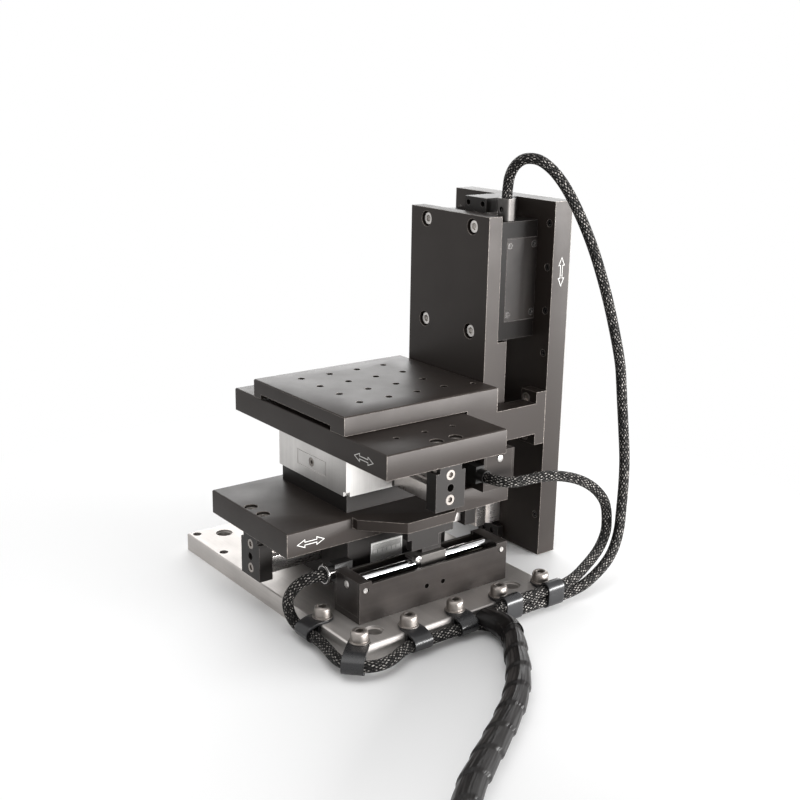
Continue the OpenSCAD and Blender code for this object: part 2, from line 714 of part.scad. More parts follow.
// X slide
module x_foot_plate() { color([0.15, 0.15, 0.15]) place_x() slide_foot(); }
module x_outer_guide() { color([0.75, 0.75, 0.74]) place_x() slide_outer_guide(); }
module x_motor_guide() { color([0.15, 0.15, 0.15]) place_x() slide_motor_guide(); }
module x_guide_screws() { color([0.7, 0.7, 0.7]) place_x() slide_guide_screws(); }
module x_motor_channel() { color([0.45, 0.43, 0.42]) place_x() slide_channel(); }
module x_channel_ends() { color([0.4, 0.38, 0.37]) place_x() slide_channel_ends(); }
module x_drive_rod() { color([0.85, 0.85, 0.86]) place_x() slide_rod(); }
module x_piezo_stack() { color([0.7, 0.68, 0.6]) place_x() slide_piezo_stack(); }
module x_cable_gland() { color([0.75, 0.75, 0.75]) place_x() slide_gland(x_gland_h, 8.6); }
module x_moving_plate() {
  color([0.2, 0.19, 0.19]) difference() {
    place_x_moving() slide_moving_plate(x_tongue_half_w, false);
    place_y() for (x = [-1, 1], y = guide_screw_y)
      translate([x * guide_screw_x, y, -5.5]) cylinder(d = m4 + fit, h = 6);
  }
}
module x_center_rail() { color([0.8, 0.8, 0.79]) place_x_moving() slide_rail(); }
module x_end_blocks() { color([0.2, 0.19, 0.19]) place_x_moving() slide_end_blocks(); }
module x_end_screws() { color([0.8, 0.8, 0.8]) place_x_moving() slide_end_screws(); }
module x_drive_arm() { color([0.2, 0.19, 0.19]) place_x_moving() slide_arm(); }
module x_rod_slider() { color([0.5, 0.5, 0.5]) place_x_moving() slide_rod_slider(); }
module x_ball_cage() { color([0.8, 0.75, 0.5]) translate([x_rest / 2, 0, x_face_z]) slide_ball_cage(); }

// Scale strip on the motor guide, behind the channel
module x_scale_strip() {
  color([0.8, 0.8, 0.78]) place_x()
    translate([-15, -guide_face_y - 0.5, foot_t + 2]) cube([17, 0.5, 11]);
}

// Y slide
module y_foot_plate() { color([0.15, 0.15, 0.15]) place_y() slide_foot(); }
module y_outer_guide() { color([0.75, 0.75, 0.74]) place_y() slide_outer_guide(); }
module y_motor_guide() { color([0.15, 0.15, 0.15]) place_y() slide_motor_guide(); }
module y_guide_screws() { color([0.7, 0.7, 0.7]) place_y() slide_guide_screws(); }
module y_motor_channel() { color([0.45, 0.43, 0.42]) place_y() slide_channel(); }
module y_channel_ends() { color([0.4, 0.38, 0.37]) place_y() slide_channel_ends(); }
module y_drive_rod() { color([0.85, 0.85, 0.86]) place_y() slide_rod(); }
module y_piezo_stack() { color([0.7, 0.68, 0.6]) place_y() slide_piezo_stack(); }
module y_cable_gland() { color([0.3, 0.3, 0.3]) place_y() slide_gland(y_gland_h, 6); }
module y_center_rail() { color([0.8, 0.8, 0.79]) place_y() slide_rail(); }
module y_end_blocks() { color([0.2, 0.19, 0.19]) place_y() slide_end_blocks(); }
module y_end_screws() { color([0.8, 0.8, 0.8]) place_y() slide_end_screws(); }
module y_drive_arm() { color([0.2, 0.19, 0.19]) place_y() slide_arm(); }
module y_rod_slider() { color([0.5, 0.5, 0.5]) place_y() slide_rod_slider(); }
module y_ball_cage() { color([0.8, 0.75, 0.5]) place_y() slide_ball_cage(); }

function bracket_screw_places() = [for (x = [-16, 24], y = [-18, 18]) [x, upright_y + y]];

module y_moving_plate() {
  color([0.2, 0.19, 0.19]) difference() {
    place_y() slide_moving_plate(y_tongue_half_w, true);
    for (p = bracket_screw_places())
      translate([p[0], p[1], y_top_z - 7]) cylinder(d = m4 + fit, h = 8);
  }
}

// Z slide, fixed half

module z_bracket_foot() {
  color([0.2, 0.19, 0.19]) difference() {
    translate([bracket_x, upright_y - bracket_w / 2, y_top_z])
      cube([upright_x + tenon - bracket_x, bracket_w, bracket_t]);
    for (p = bracket_screw_places())
      translate([p[0], p[1], y_top_z + bracket_t]) counterbore(m4 + play, 8, 2.4, bracket_t);
  }
}

module z_upright_plate() {
  color([0.2, 0.19, 0.19]) difference() {
    union() {
      translate([upright_x, upright_y - upright_w / 2, upright_z])
        cube([upright_t, upright_w, upright_top - upright_z]);
      translate([upright_back - e, upright_y - upright_w / 2, upright_z])
        cube([upright_step + e, upright_w, z_body_z - upright_z - 0.8]);
    }
    translate([upright_x - e, upright_y - bracket_w / 2, y_top_z]) cube([tenon + e, bracket_w, bracket_t]);
    for (y = upright_screw_y, z = upright_screw_z)
      translate([upright_x, y, z]) rotate([0, -90, 0])
        counterbore(m4 + play, upright_cbore_d, upright_cbore_h, upright_t);
    for (y = [-18, 18])
      translate([upright_x + tenon - e, upright_y + y, y_top_z + bracket_t / 2])
        rotate([0, 90, 0]) cylinder(d = 2, h = upright_t + upright_step);
  }
}

// The four upright screws and the four bracket screws
module z_upright_screws() {
  color([0.75, 0.75, 0.75]) {
    for (y = upright_screw_y, z = upright_screw_z)
      translate([upright_x + upright_cbore_h, y, z]) rotate([0, -90, 0])
        socket_screw(m4, [5.6, 3.1], upright_t - upright_cbore_h + 5);
    for (p = bracket_screw_places())
      translate([p[0], p[1], y_top_z + bracket_t - 2.4]) socket_screw(m4, [7.6, 2.2], 7);
  }
}

// Bars for the ball grooves along the Z rail
module z_groove_bars(len) {
  for (side = [-1, 1])
    translate([z_ball_x, z_rail_y + side * (rail_w + ball_gap) / 2, 0])
      rotate([0, 0, 45]) translate([0, 0, len / 2]) cube([groove, groove, len], center = true);
}

module z_motor_body() {
  cavity = [13, 8, 34];
  color([0.13, 0.13, 0.13]) difference() {
    translate([upright_back, z_near_y, z_body_z]) cube([z_body_d, z_motor_w, z_body_h]);
    z_groove_bars(400);
    translate([cover_x - cover[0] / 2 - 0.1, z_near_y - e, cover_z - cover[2] / 2 - 0.1])
      cube([cover[0] + 0.2, cover[1] + 0.1, cover[2] + 0.2]);
    translate([cover_x - cavity[0] / 2, z_near_y, cover_z - cavity[2] / 2]) cube(cavity);
    translate([z_ball_x - 5, z_near_y + cavity[1] - e, cover_z]) rotate([-90, 0, 0])
      cylinder(d = 3.2, h = 20);
    for (z = upright_screw_z)
      translate([upright_back - e, upright_screw_y[0], z]) rotate([0, 90, 0]) cylinder(d = m4 + fit, h = 6);
    for (p = cover_screw_places())
      translate([p[0], z_near_y - e, p[1]]) rotate([-90, 0, 0]) cylinder(d = 2 + fit, h = 5.5);
  }
}

module z_guide_block() {
  wall_x = upright_back + 6;
  color([0.13, 0.13, 0.13]) difference() {
    union() {
      translate([upright_back, z_near_y + z_motor_w + 0.05, z_body_z])
        cube([wall_x - upright_back, z_far_y - z_near_y - z_motor_w - 0.05, z_body_h]);
      translate([wall_x - e, z_far_y - z_guide_w, z_body_z])
        cube([z_body_back - wall_x + e, z_guide_w, z_body_h]);
    }
    z_groove_bars(400);
    for (z = upright_screw_z)
      translate([upright_back - e, upright_screw_y[1], z]) rotate([0, 90, 0]) cylinder(d = m4 + fit, h = 6);
  }
}

function cover_screw_places() = [
  for (x = [-1, 1], z = [-1, 1]) [cover_x + x * (cover[0] / 2 - 1.9), cover_z + z * (cover[2] / 2 - 3.2)]
];

module z_side_cover() {
  color([0.16, 0.16, 0.16]) difference() {
    translate([cover_x - cover[0] / 2, z_near_y, cover_z - cover[2] / 2]) cube(cover);
    for (p = cover_screw_places())
      translate([p[0], z_near_y - e, p[1]]) rotate([-90, 0, 0]) cylinder(d = 2 + play, h = 2);
    for (p = cover_screw_places())
      translate([p[0], z_near_y - e, p[1]]) rotate([-90, 0, 0]) cylinder(d = 3.3, h = 0.7 + e);
  }
}

module z_cover_screws() {
  color([0.7, 0.7, 0.7])
    for (p = cover_screw_places())
      translate([p[0], z_near_y + 0.7, p[1]]) rotate([90, 0, 0]) socket_screw(2, [3, 0.65], 4);
}

// Motor in the cavity, with its drive finger on the rail's side
module z_piezo_motor() {
  tip_y = z_rail_y - rail_w / 2 - 0.05;
  color([0.75, 0.72, 0.62]) {
    translate([cover_x - 6, z_near_y + 2.1, cover_z - 14]) cube([9, 5.8, 28]);
    translate([z_ball_x - 5, z_near_y + 7.8, cover_z]) rotate([-90, 0, 0])
      cylinder(d = 3, h = tip_y - z_near_y - 7.8);
  }
}

module z_cable_clamp() {
  size = [7.4, 7.6, z_route_upper[0][2] - z_body_top];
  color([0.78, 0.78, 0.78]) translate([clamp_pos[0], clamp_pos[1], z_body_top]) difference() {
    linear_extrude(size[2]) offset(r = 2.9) square([size[0] - 5.8, size[1] - 5.8], center = true);
    translate([-size[0] / 2 - e, -0.6, size[2] / 2]) rotate([0, 90, 0]) cylinder(d = 2.6, h = 1.5);
  }
}

// Z slide, moving half

function tall_screw_z() = [for (i = [0 : 7]) tall_top - 10 - i * 20.1];

module z_tall_plate() {
  color([0.2, 0.19, 0.19]) difference() {
    translate([tall_x, tall_y - tall_w / 2, tall_lift]) cube([tall_t, tall_w, tall_l]);
    for (z = tall_screw_z(), s = [-1, 1])
      translate([tall_x - e, tall_y + s * (tall_w / 2 - 3.5), z]) rotate([0, 90, 0]) cylinder(d = 3.4, h = 3);
    for (p = fork_screw_places())
      translate([tall_x - e, p[0], p[1]]) rotate([0, 90, 0]) cylinder(d = m4 + fit, h = 7);
    for (z = z_end_screw_z(), s = [-1, 1])
      translate([tall_x - e, z_rail_y + s * 3, z]) rotate([0, 90, 0]) cylinder(d = m3 + fit, h = 6.2);
  }
}

function z_end_screw_z() = [tall_top - end_block_d / 2, z_stop_z + z_stop_h / 2];

module z_center_rail() {
  color([0.8, 0.8, 0.79]) difference() {
    translate([z_rail_x, z_rail_y - rail_w / 2, z_rail_bottom])
      cube([z_rail_d, rail_w, z_rail_top - z_rail_bottom]);
    z_groove_bars(400);
  }
}

// Top end block and the shallow stop at the bottom, with their screws' holes
module z_end_blocks() {
  color([0.2, 0.19, 0.19]) difference() {
    union() {
      translate([tall_x - z_block_d, z_rail_y - 7.5, z_rail_top]) cube([z_block_d, 15, end_block_d]);
      translate([tall_x - z_stop_d, z_rail_y - 7.5, z_stop_z]) cube([z_stop_d, 15, z_stop_h]);
    }
    for (s = [-1, 1])
      translate([tall_x - z_block_d - e, z_rail_y + s * 5, z_end_screw_z()[0] + 0.4])
        rotate([0, 90, 0]) cylinder(d = 2.6, h = 4);
    for (z = z_end_screw_z(), s = [-1, 1])
      translate([tall_x - 12, z_rail_y + s * 3, z]) rotate([0, 90, 0]) cylinder(d = m3 + play, h = 12 + e);
  }
}

// Screws of the tall plate: two columns on its front and those of its end blocks
module z_plate_screws() {
  color([0.8, 0.8, 0.8]) {
    for (z = tall_screw_z(), s = [-1, 1])
      translate([tall_x + 0.2, tall_y + s * (tall_w / 2 - 3.5), z]) rotate([0, 90, 0]) difference() {
        cylinder(d = 3.2, h = 2.5);
        translate([0, 0, -e]) cylinder(d = 1.6, h = 1, $fn = 6);
      }
    for (z = z_end_screw_z(), s = [-1, 1])
      translate([tall_x - 2.5, z_rail_y + s * 3, z]) rotate([0, 90, 0]) cylinder(d = m3, h = 8);
  }
}

// Fork table

function fork_screw_places() = [
  for (y = [arm_y + arm_w - 2.3, far_arm_y + 3], z = [3.4, flange_h - 4.2])
    [y, arm_z - 5.5 + z]
];

module table_arm(y, w, flange_w, drop) {
  translate([drop_x, y, arm_z]) cube([table_end_x - drop_x, w, drop - arm_z]);
  translate([drop_x, y, arm_z]) cube([tall_x - drop_x, w, arm_h]);
  translate([tall_x - flange_t, y, arm_z - 5.5]) cube([flange_t, flange_w, flange_h]);
}

module fork_table() {
  slot_y = upright_y - bracket_w / 2 - 3.3;
  slot_w = bracket_w + 7;
  slot_h = 2.3;
  color([0.22, 0.21, 0.21]) difference() {
    union() {
      translate([table_x, arm_y, table_z]) plate_block([table_l, table_w, table_top_z - table_z]);
      table_arm(arm_y, arm_w, arm_w + 0.8, table_top_z - 3);
      table_arm(far_arm_y, far_arm_w, far_arm_w, table_top_z - 3);
    }
    translate([table_x - e, slot_y, table_z - e]) cube([8, slot_w, slot_h]);
    translate([bracket_x - 1, slot_y, table_z - e])
      cube([table_end_x - bracket_x + 2, slot_w, bracket_t - table_gap + pocket_gap + e]);
    for (i = [0 : 3], j = [0 : 3])
      translate([table_x + 18.25 + i * table_pitch, arm_y + 15.1 + j * table_pitch, table_z - e])
        cylinder(d = table_hole_d, h = 20);
    translate([table_end_x - 4.9, arm_y + 11.8, table_top_z - 4]) cylinder(d = 2.5, h = 5);
    for (p = fork_screw_places()) {
      translate([tall_x - flange_t - e, p[0], p[1]]) rotate([0, 90, 0]) cylinder(d = m4 + play, h = 10);
      translate([tall_x - flange_t - e, p[0], p[1]]) rotate([0, 90, 0]) cylinder(d = 5.2, h = fork_sink + e);
    }
  }
}

module fork_screws() {
  color([0.85, 0.85, 0.85])
    for (p = fork_screw_places())
      translate([tall_x - flange_t + fork_sink, p[0], p[1]]) rotate([0, -90, 0])
        socket_screw(m4, [5, 2.5], 9);
}

// Two cages along the Z rail
module z_ball_cage() {
  pitch = 4.4;
  z_mid = z_body_z + z_body_h / 4 + 0.5;
  color([0.8, 0.75, 0.5])
    for (side = [-1, 1])
      translate([z_ball_x, z_rail_y + side * (rail_w + ball_gap) / 2, z_mid]) {
        cube([3.4, cage_t, 3], center = true);
        sphere(d = ball_d, $fn = 24);
      }
}

// Leads

module lead(route, first = undef, last = undef) {
  color([0.2, 0.18, 0.17]) tube(route, lead_d, 8, first, last);
}

trunk_dir = [0, -1, 0];

module x_cable() { lead(x_route, [-1, 0, 0], trunk_dir); }
module y_cable_upper() { lead(y_route_upper, [0, -1, 0], [0, 0, -1]); }
module y_cable_lower() { lead(y_route_lower, [0, 0, -1], trunk_dir); }
module z_cable_upper() { lead(z_route_upper, [0, 0, 1], [0, 0, -1]); }
module z_cable_lower() { lead(z_route_lower, [0, 0, -1], trunk_dir); }

module cable_trunk() {
  color([0.1, 0.1, 0.1]) tube(trunk_route, trunk_d, 10, trunk_dir, [cos(coil_heading), sin(coil_heading), 0]);
}

module trunk_coil() {
  color([0.1, 0.1, 0.1])
    tube(coil_route, trunk_d, 8, [cos(coil_heading), sin(coil_heading), 0], coil_end_dir);
}

// Round connector at the trunk's end and the tie round the coil
module plug_and_tie() {
  plug_angle = atan2(coil_end_dir[1], coil_end_dir[0]);
  tie_angle = coil_heading + 40;
  tie_t = 0.8;
  tie_in = coil_in - coil_pitch / 4 - trunk_d / 2 - 0.8;
  tie_out = coil_r + trunk_d / 2 + 0.8;
  tie_top = coil_start[2] + coil_pitch + trunk_d / 2 + 0.6;
  color([0.6, 0.6, 0.6]) translate(coil_end) rotate([0, 0, plug_angle]) rotate([0, 90, 0]) difference() {
    union() {
      cylinder(d = 11, h = 8);
      translate([0, 0, 8]) cylinder(d = 9, h = 6);
      translate([0, 0, 14]) cylinder(d = 11, h = 16);
    }
    translate([0, 0, 22]) cylinder(d = 8.4, h = 10);
  }
  color([0.15, 0.15, 0.15]) translate([coil_center[0], coil_center[1], 0]) rotate([0, 0, tie_angle]) difference() {
    translate([tie_in - tie_t, -5, 0.1]) cube([tie_out - tie_in + 2 * tie_t, 10, tie_top + tie_t - 0.1]);
    translate([tie_in, -6, 0.1 + tie_t]) cube([tie_out - tie_in, 12, tie_top - 0.1 - tie_t]);
  }
}

base_plate();
cable_clips();
clip_screws();
x_foot_plate();
x_outer_guide();
x_motor_guide();
x_guide_screws();
x_motor_channel();
x_channel_ends();
x_drive_rod();
x_piezo_stack();
x_scale_strip();
x_cable_gland();
x_moving_plate();
x_center_rail();
x_end_blocks();
x_end_screws();
x_drive_arm();
x_rod_slider();
y_foot_plate();
y_outer_guide();
y_motor_guide();
y_guide_screws();
y_motor_channel();
y_channel_ends();
y_drive_rod();
y_piezo_stack();
y_cable_gland();
y_moving_plate();
y_center_rail();
y_end_blocks();
y_end_screws();
y_drive_arm();
y_rod_slider();
z_bracket_foot();
z_upright_plate();
z_upright_screws();
z_motor_body();
z_guide_block();
z_side_cover();
z_cover_screws();
z_piezo_motor();
z_cable_clamp();
z_tall_plate();
z_center_rail();
z_end_blocks();
z_plate_screws();
fork_table();
fork_screws();
x_ball_cage();
y_ball_cage();
z_ball_cage();
x_cable();
y_cable_upper();
y_cable_lower();
z_cable_upper();
z_cable_lower();
cable_trunk();
trunk_coil();
plug_and_tie();
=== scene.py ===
"""Three axis piezo positioning stage: its look, laid over the CAD frame.

Blender works in metres. The sizes in the classes are millimetres, as on the
workshop drawing, and mm() and MM turn them into metres.
"""

import logging
import math
from dataclasses import dataclass
from enum import Enum

import bmesh
import bpy
from mathutils import Euler, Matrix, Vector


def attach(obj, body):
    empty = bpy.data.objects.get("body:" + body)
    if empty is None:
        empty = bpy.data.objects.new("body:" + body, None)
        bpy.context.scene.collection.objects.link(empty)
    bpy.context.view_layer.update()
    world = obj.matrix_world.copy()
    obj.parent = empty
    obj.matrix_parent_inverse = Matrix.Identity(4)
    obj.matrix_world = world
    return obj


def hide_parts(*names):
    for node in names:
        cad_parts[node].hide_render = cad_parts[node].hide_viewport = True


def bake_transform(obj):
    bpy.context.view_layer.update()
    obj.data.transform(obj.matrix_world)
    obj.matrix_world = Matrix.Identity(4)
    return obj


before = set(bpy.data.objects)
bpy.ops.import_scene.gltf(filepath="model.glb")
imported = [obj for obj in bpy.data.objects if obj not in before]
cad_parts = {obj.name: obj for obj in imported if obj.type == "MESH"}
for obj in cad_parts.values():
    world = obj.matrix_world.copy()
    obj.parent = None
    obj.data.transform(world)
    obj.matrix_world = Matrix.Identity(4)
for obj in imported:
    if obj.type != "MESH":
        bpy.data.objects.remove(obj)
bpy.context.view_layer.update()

log = logging.getLogger("piezo_stage")
Point = tuple[float, float, float]
Line = tuple[Point, ...]
Profile = list[tuple[float, float]]
Colour = tuple[float, float, float]
Mesh = bmesh.types.BMesh
Object = bpy.types.Object
Socket = bpy.types.NodeSocket
Skin = tuple[Socket, Socket, Socket]

MM = 0.001
MERGE = 2e-6
NORTH, SOUTH, EAST, WEST = (0, 1, 0), (0, -1, 0), (1, 0, 0), (-1, 0, 0)
UP, DOWN = (0, 0, 1), (0, 0, -1)


def mm(point: Point) -> Vector:
    """A point in millimetres as a vector in metres."""
    return Vector(point) * MM


class Body(Enum):
    """The rigid bodies that pieces ride on, as the joints name them."""

    BASE = "base"
    X = "x_carriage"
    Y = "y_carriage"
    Z = "z_carriage"


# Shader graphs


class Graph:
    """Adds nodes and links to one node tree with short calls."""

    def __init__(self, tree: bpy.types.NodeTree) -> None:
        """Keeps the tree."""
        self.tree = tree

    def node(self, kind: str, **settings) -> bpy.types.Node:
        """Adds a shader node.

        Args:
            kind: The node's type without its ShaderNode prefix.
            settings: Properties of the node.

        Returns:
            The new node.
        """
        made = self.tree.nodes.new("ShaderNode" + kind)
        for key, value in settings.items():
            setattr(made, key, value)
        return made

    def put(self, socket: Socket, value) -> None:
        """Links an output to the socket, or sets the socket to a plain value."""
        if isinstance(value, Socket):
            self.tree.links.new(value, socket)
        else:
            socket.default_value = value

    def fill(self, made: bpy.types.Node, keys, *values) -> bpy.types.Node:
        """Puts values into the inputs with these keys, and returns the node."""
        for key, value in zip(keys, values):
            self.put(made.inputs[key], value)
        return made

    def maths(self, operation: str, *terms, clamp: bool = False) -> Socket:
        """Adds a Math node.

        Args:
            operation: Its operation, such as MULTIPLY.
            terms: Up to three sockets or numbers.
            clamp: Whether the result stays between 0 and 1.

        Returns:
            The node's output.
        """
        made = self.node("Math", operation=operation, use_clamp=clamp)
        return self.fill(made, range(3), *terms).outputs[0]

    def blend(self, factor, first, second) -> Socket:
        """Mixes two colours by a factor and returns the mixed colour."""
        ends = [(*value, 1.0) if isinstance(value, tuple) else value for value in (first, second)]
        return self.fill(self.node("Mix", data_type="RGBA"), (0, 6, 7), factor, *ends).outputs[2]

    def pick(self, factor, first, second) -> Socket:
        """Mixes two numbers by a factor and returns the mixed number."""
        return self.fill(self.node("Mix", data_type="FLOAT"), (0, 2, 3), factor, first, second).outputs[0]

    def ramp(self, value, low: float, high: float, start: float = 0.0, end: float = 1.0) -> Socket:
        """Maps value from low..high to start..end, clamped, and returns the result."""
        return self.fill(self.node("MapRange", clamp=True), range(5), value, low, high, start, end).outputs[0]

    def noise(self, vector, scale, detail: float = 3.0, rough: float = 0.55) -> Socket:
        """Adds a noise texture on the vector and returns its value."""
        made = self.node("TexNoise", noise_dimensions="3D")
        keys = ("Vector", "Scale", "Detail", "Roughness")
        return self.fill(made, keys, vector, scale, detail, rough).outputs["Fac"]

    def ridge(self, phase, count: float = 1.0) -> Socket:
        """Rounded ridges, so many to each unit of the phase."""
        return self.maths("ABSOLUTE", self.maths("SINE", self.maths("MULTIPLY", phase, math.pi * count)))

    def scaled(self, colour: Colour, factor) -> Socket:
        """A fixed colour times a factor."""
        return self.fill(self.node("VectorMath", operation="SCALE"), (0, "Scale"), colour, factor).outputs[0]

    def spot(self) -> Socket:
        """The place on the object, in its own coordinates."""
        return self.node("TexCoord").outputs["Object"]

    def parts(self, vector) -> list[Socket]:
        """The X, Y and Z of a vector."""
        return self.fill(self.node("SeparateXYZ"), (0,), vector).outputs[:]

    def joined(self, *parts) -> Socket:
        """The vector with this X, Y and Z."""
        return self.fill(self.node("CombineXYZ"), range(3), *parts).outputs[0]

    def around_along(self) -> list[Socket]:
        """A lead's own UV map: U is the turn round it, V the metres along it."""
        return self.parts(self.node("UVMap").outputs[0])[:2]


class Effect:
    """A reusable node group with named inputs and outputs, built once."""

    name = "effect"
    inputs: dict[str, float] = {}
    outputs: tuple[str, ...] = ()

    @classmethod
    def tree(cls) -> bpy.types.NodeTree:
        """Returns the group's tree, built on first use."""
        found = bpy.data.node_groups.get(cls.name)
        if found is not None:
            return found
        tree = bpy.data.node_groups.new(cls.name, "ShaderNodeTree")
        for key, value in cls.inputs.items():
            socket = tree.interface.new_socket(key, in_out="INPUT", socket_type="NodeSocketFloat")
            socket.default_value = value
        for key in cls.outputs:
            tree.interface.new_socket(key, in_out="OUTPUT", socket_type="NodeSocketFloat")
        start, end = tree.nodes.new("NodeGroupInput"), tree.nodes.new("NodeGroupOutput")
        results = cls.build(Graph(tree), {key: start.outputs[key] for key in cls.inputs})
        for key in cls.outputs:
            tree.links.new(results[key], end.inputs[key])
        return tree

    @classmethod
    def place(cls, graph: Graph, **values: float) -> dict[str, Socket]:
        """Adds the group to a material.

        Args:
            graph: The material's graph.
            values: The group's inputs that differ from their defaults.

        Returns:
            The group's outputs by name.
        """
        made = graph.node("Group")
        made.node_tree = cls.tree()
        graph.fill(made, values, *values.values())
        return {key: made.outputs[key] for key in cls.outputs}


class BlastedGrain(Effect):
    """Fine bead-blasted grain with broad handling marks, on Object coordinates."""

    name = "blasted_grain"
    inputs = {"Grain": 2600.0, "Marks": 45.0}
    outputs = ("Height", "Speck", "Marks")

    @staticmethod
    def build(g: Graph, given: dict) -> dict:
        """Builds the graph and returns the outputs."""
        grain = g.noise(g.spot(), given["Grain"], 2.0)
        broad = g.noise(g.spot(), given["Marks"], 4.0, 0.6)
        return {"Height": grain, "Speck": g.ramp(grain, 0.3, 0.7), "Marks": g.ramp(broad, 0.3, 0.72)}


class GroundLines(Effect):
    """Fine straight grinding lines; a Run of 1 along an axis stretches them that way."""

    name = "ground_lines"
    inputs = {"Run X": 1.0, "Run Y": 0.0, "Run Z": 0.0, "Pitch": 3200.0}
    outputs = ("Height", "Streak")
    stretch = 0.985
    wide_share = 0.16

    @classmethod
    def build(cls, g: Graph, given: dict) -> dict:
        """Builds the graph and returns the outputs."""
        slow = [g.maths("MULTIPLY_ADD", given[f"Run {axis}"], -cls.stretch, 1.0) for axis in "XYZ"]
        squeezed = g.joined(*(g.maths("MULTIPLY", part, by) for part, by in zip(g.parts(g.spot()), slow)))
        fine = g.noise(squeezed, given["Pitch"], 2.0, 0.6)
        wide = g.noise(squeezed, g.maths("MULTIPLY", given["Pitch"], cls.wide_share), 2.0, 0.6)
        return {"Height": fine, "Streak": g.ramp(g.maths("ADD", fine, wide), 0.7, 1.3)}


class EdgeWearAndHighlight(Effect):
    """A mask along outer edges, broken up by noise: real wear where handling rubs the finish thin, and a
    painted highlight where the chamfers would catch the light.
    """

    name = "edge_wear_and_highlight"
    inputs = {"Radius": 0.0004, "Breakup": 700.0}
    outputs = ("Mask",)

    @staticmethod
    def build(g: Graph, given: dict) -> dict:
        """Builds the graph and returns the outputs."""
        rounded = g.fill(g.node("Bevel", samples=4), ("Radius",), given["Radius"]).outputs[0]
        straight = g.node("NewGeometry").outputs["Normal"]
        lean = g.fill(g.node("VectorMath", operation="DOT_PRODUCT"), range(2), rounded, straight)
        edge = g.ramp(lean.outputs["Value"], 0.995, 0.86)
        patch = g.ramp(g.noise(g.spot(), given["Breakup"], 3.0), 0.35, 0.6, 0.35, 1.0)
        return {"Mask": g.maths("MULTIPLY", edge, patch, clamp=True)}


class BraidWeave(Effect):
    """Braided sleeving: two sets of strands that cross, with painted glints where threads lie on top and would
    catch the light.
    """

    name = "braid_weave"
    inputs = {"Strands": 9.0, "Pitch": 0.0135}
    outputs = ("Height", "Crest", "Fleck")
    fibres = 4

    @classmethod
    def build(cls, g: Graph, given: dict) -> dict:
        """Builds the graph and returns the outputs."""
        around, along = g.around_along()
        turn = g.maths("MULTIPLY", around, given["Strands"])
        climb = g.maths("MULTIPLY", g.maths("DIVIDE", along, given["Pitch"]), given["Strands"])
        left, right = g.maths("ADD", turn, climb), g.maths("SUBTRACT", turn, climb)
        over = g.maths("MODULO", g.maths("ADD", g.maths("FLOOR", left), g.maths("FLOOR", right)), 2.0)
        over = g.maths("ABSOLUTE", over)
        high = g.maths("MULTIPLY", g.ridge(left), g.ridge(right))
        thread = g.pick(over, g.ridge(left, cls.fibres), g.ridge(right, cls.fibres))
        height = g.maths("ADD", g.maths("MULTIPLY", high, 0.75), g.maths("MULTIPLY", thread, 0.25))
        # Painted glints: pale spots on the threads that lie on top, gated by noise, stand in for where they
        # catch the light.
        side = g.ramp(g.pick(over, g.ridge(left), g.ridge(right)), 0.7, 0.95)
        ends = g.ramp(g.pick(over, g.ridge(right), g.ridge(left)), 0.3, 0.75)
        loose = g.ramp(g.noise(g.spot(), 800.0, 2.0), 0.47, 0.58)
        fleck = g.maths("MULTIPLY", g.maths("MULTIPLY", side, ends), loose, clamp=True)
        return {"Height": height, "Crest": g.ramp(high, 0.05, 0.8), "Fleck": fleck}


class WrapRidges(Effect):
    """Soft ridges that run along a wrapped lead."""

    name = "wrap_ridges"
    inputs = {"Round": 2.4, "Along": 14.0}
    outputs = ("Height", "Scuff")

    @staticmethod
    def build(g: Graph, given: dict) -> dict:
        """Builds the graph and returns the outputs."""
        around, along = g.around_along()
        turn = g.maths("MULTIPLY", around, math.tau)
        climb = g.maths("MULTIPLY", along, given["Along"])
        place = g.joined(g.maths("COSINE", turn), g.maths("SINE", turn), climb)
        scuff = g.noise(g.spot(), 160.0, 4.0, 0.6)
        return {"Height": g.noise(place, given["Round"], 1.0, 0.4), "Scuff": g.ramp(scuff, 0.35, 0.7)}


class Grain(Enum):
    """The texture of a finish; the ground ones name the input that sets their run."""

    BLASTED = "blasted"
    GROUND_X = "Run X"
    GROUND_Y = "Run Y"
    GROUND_Z = "Run Z"


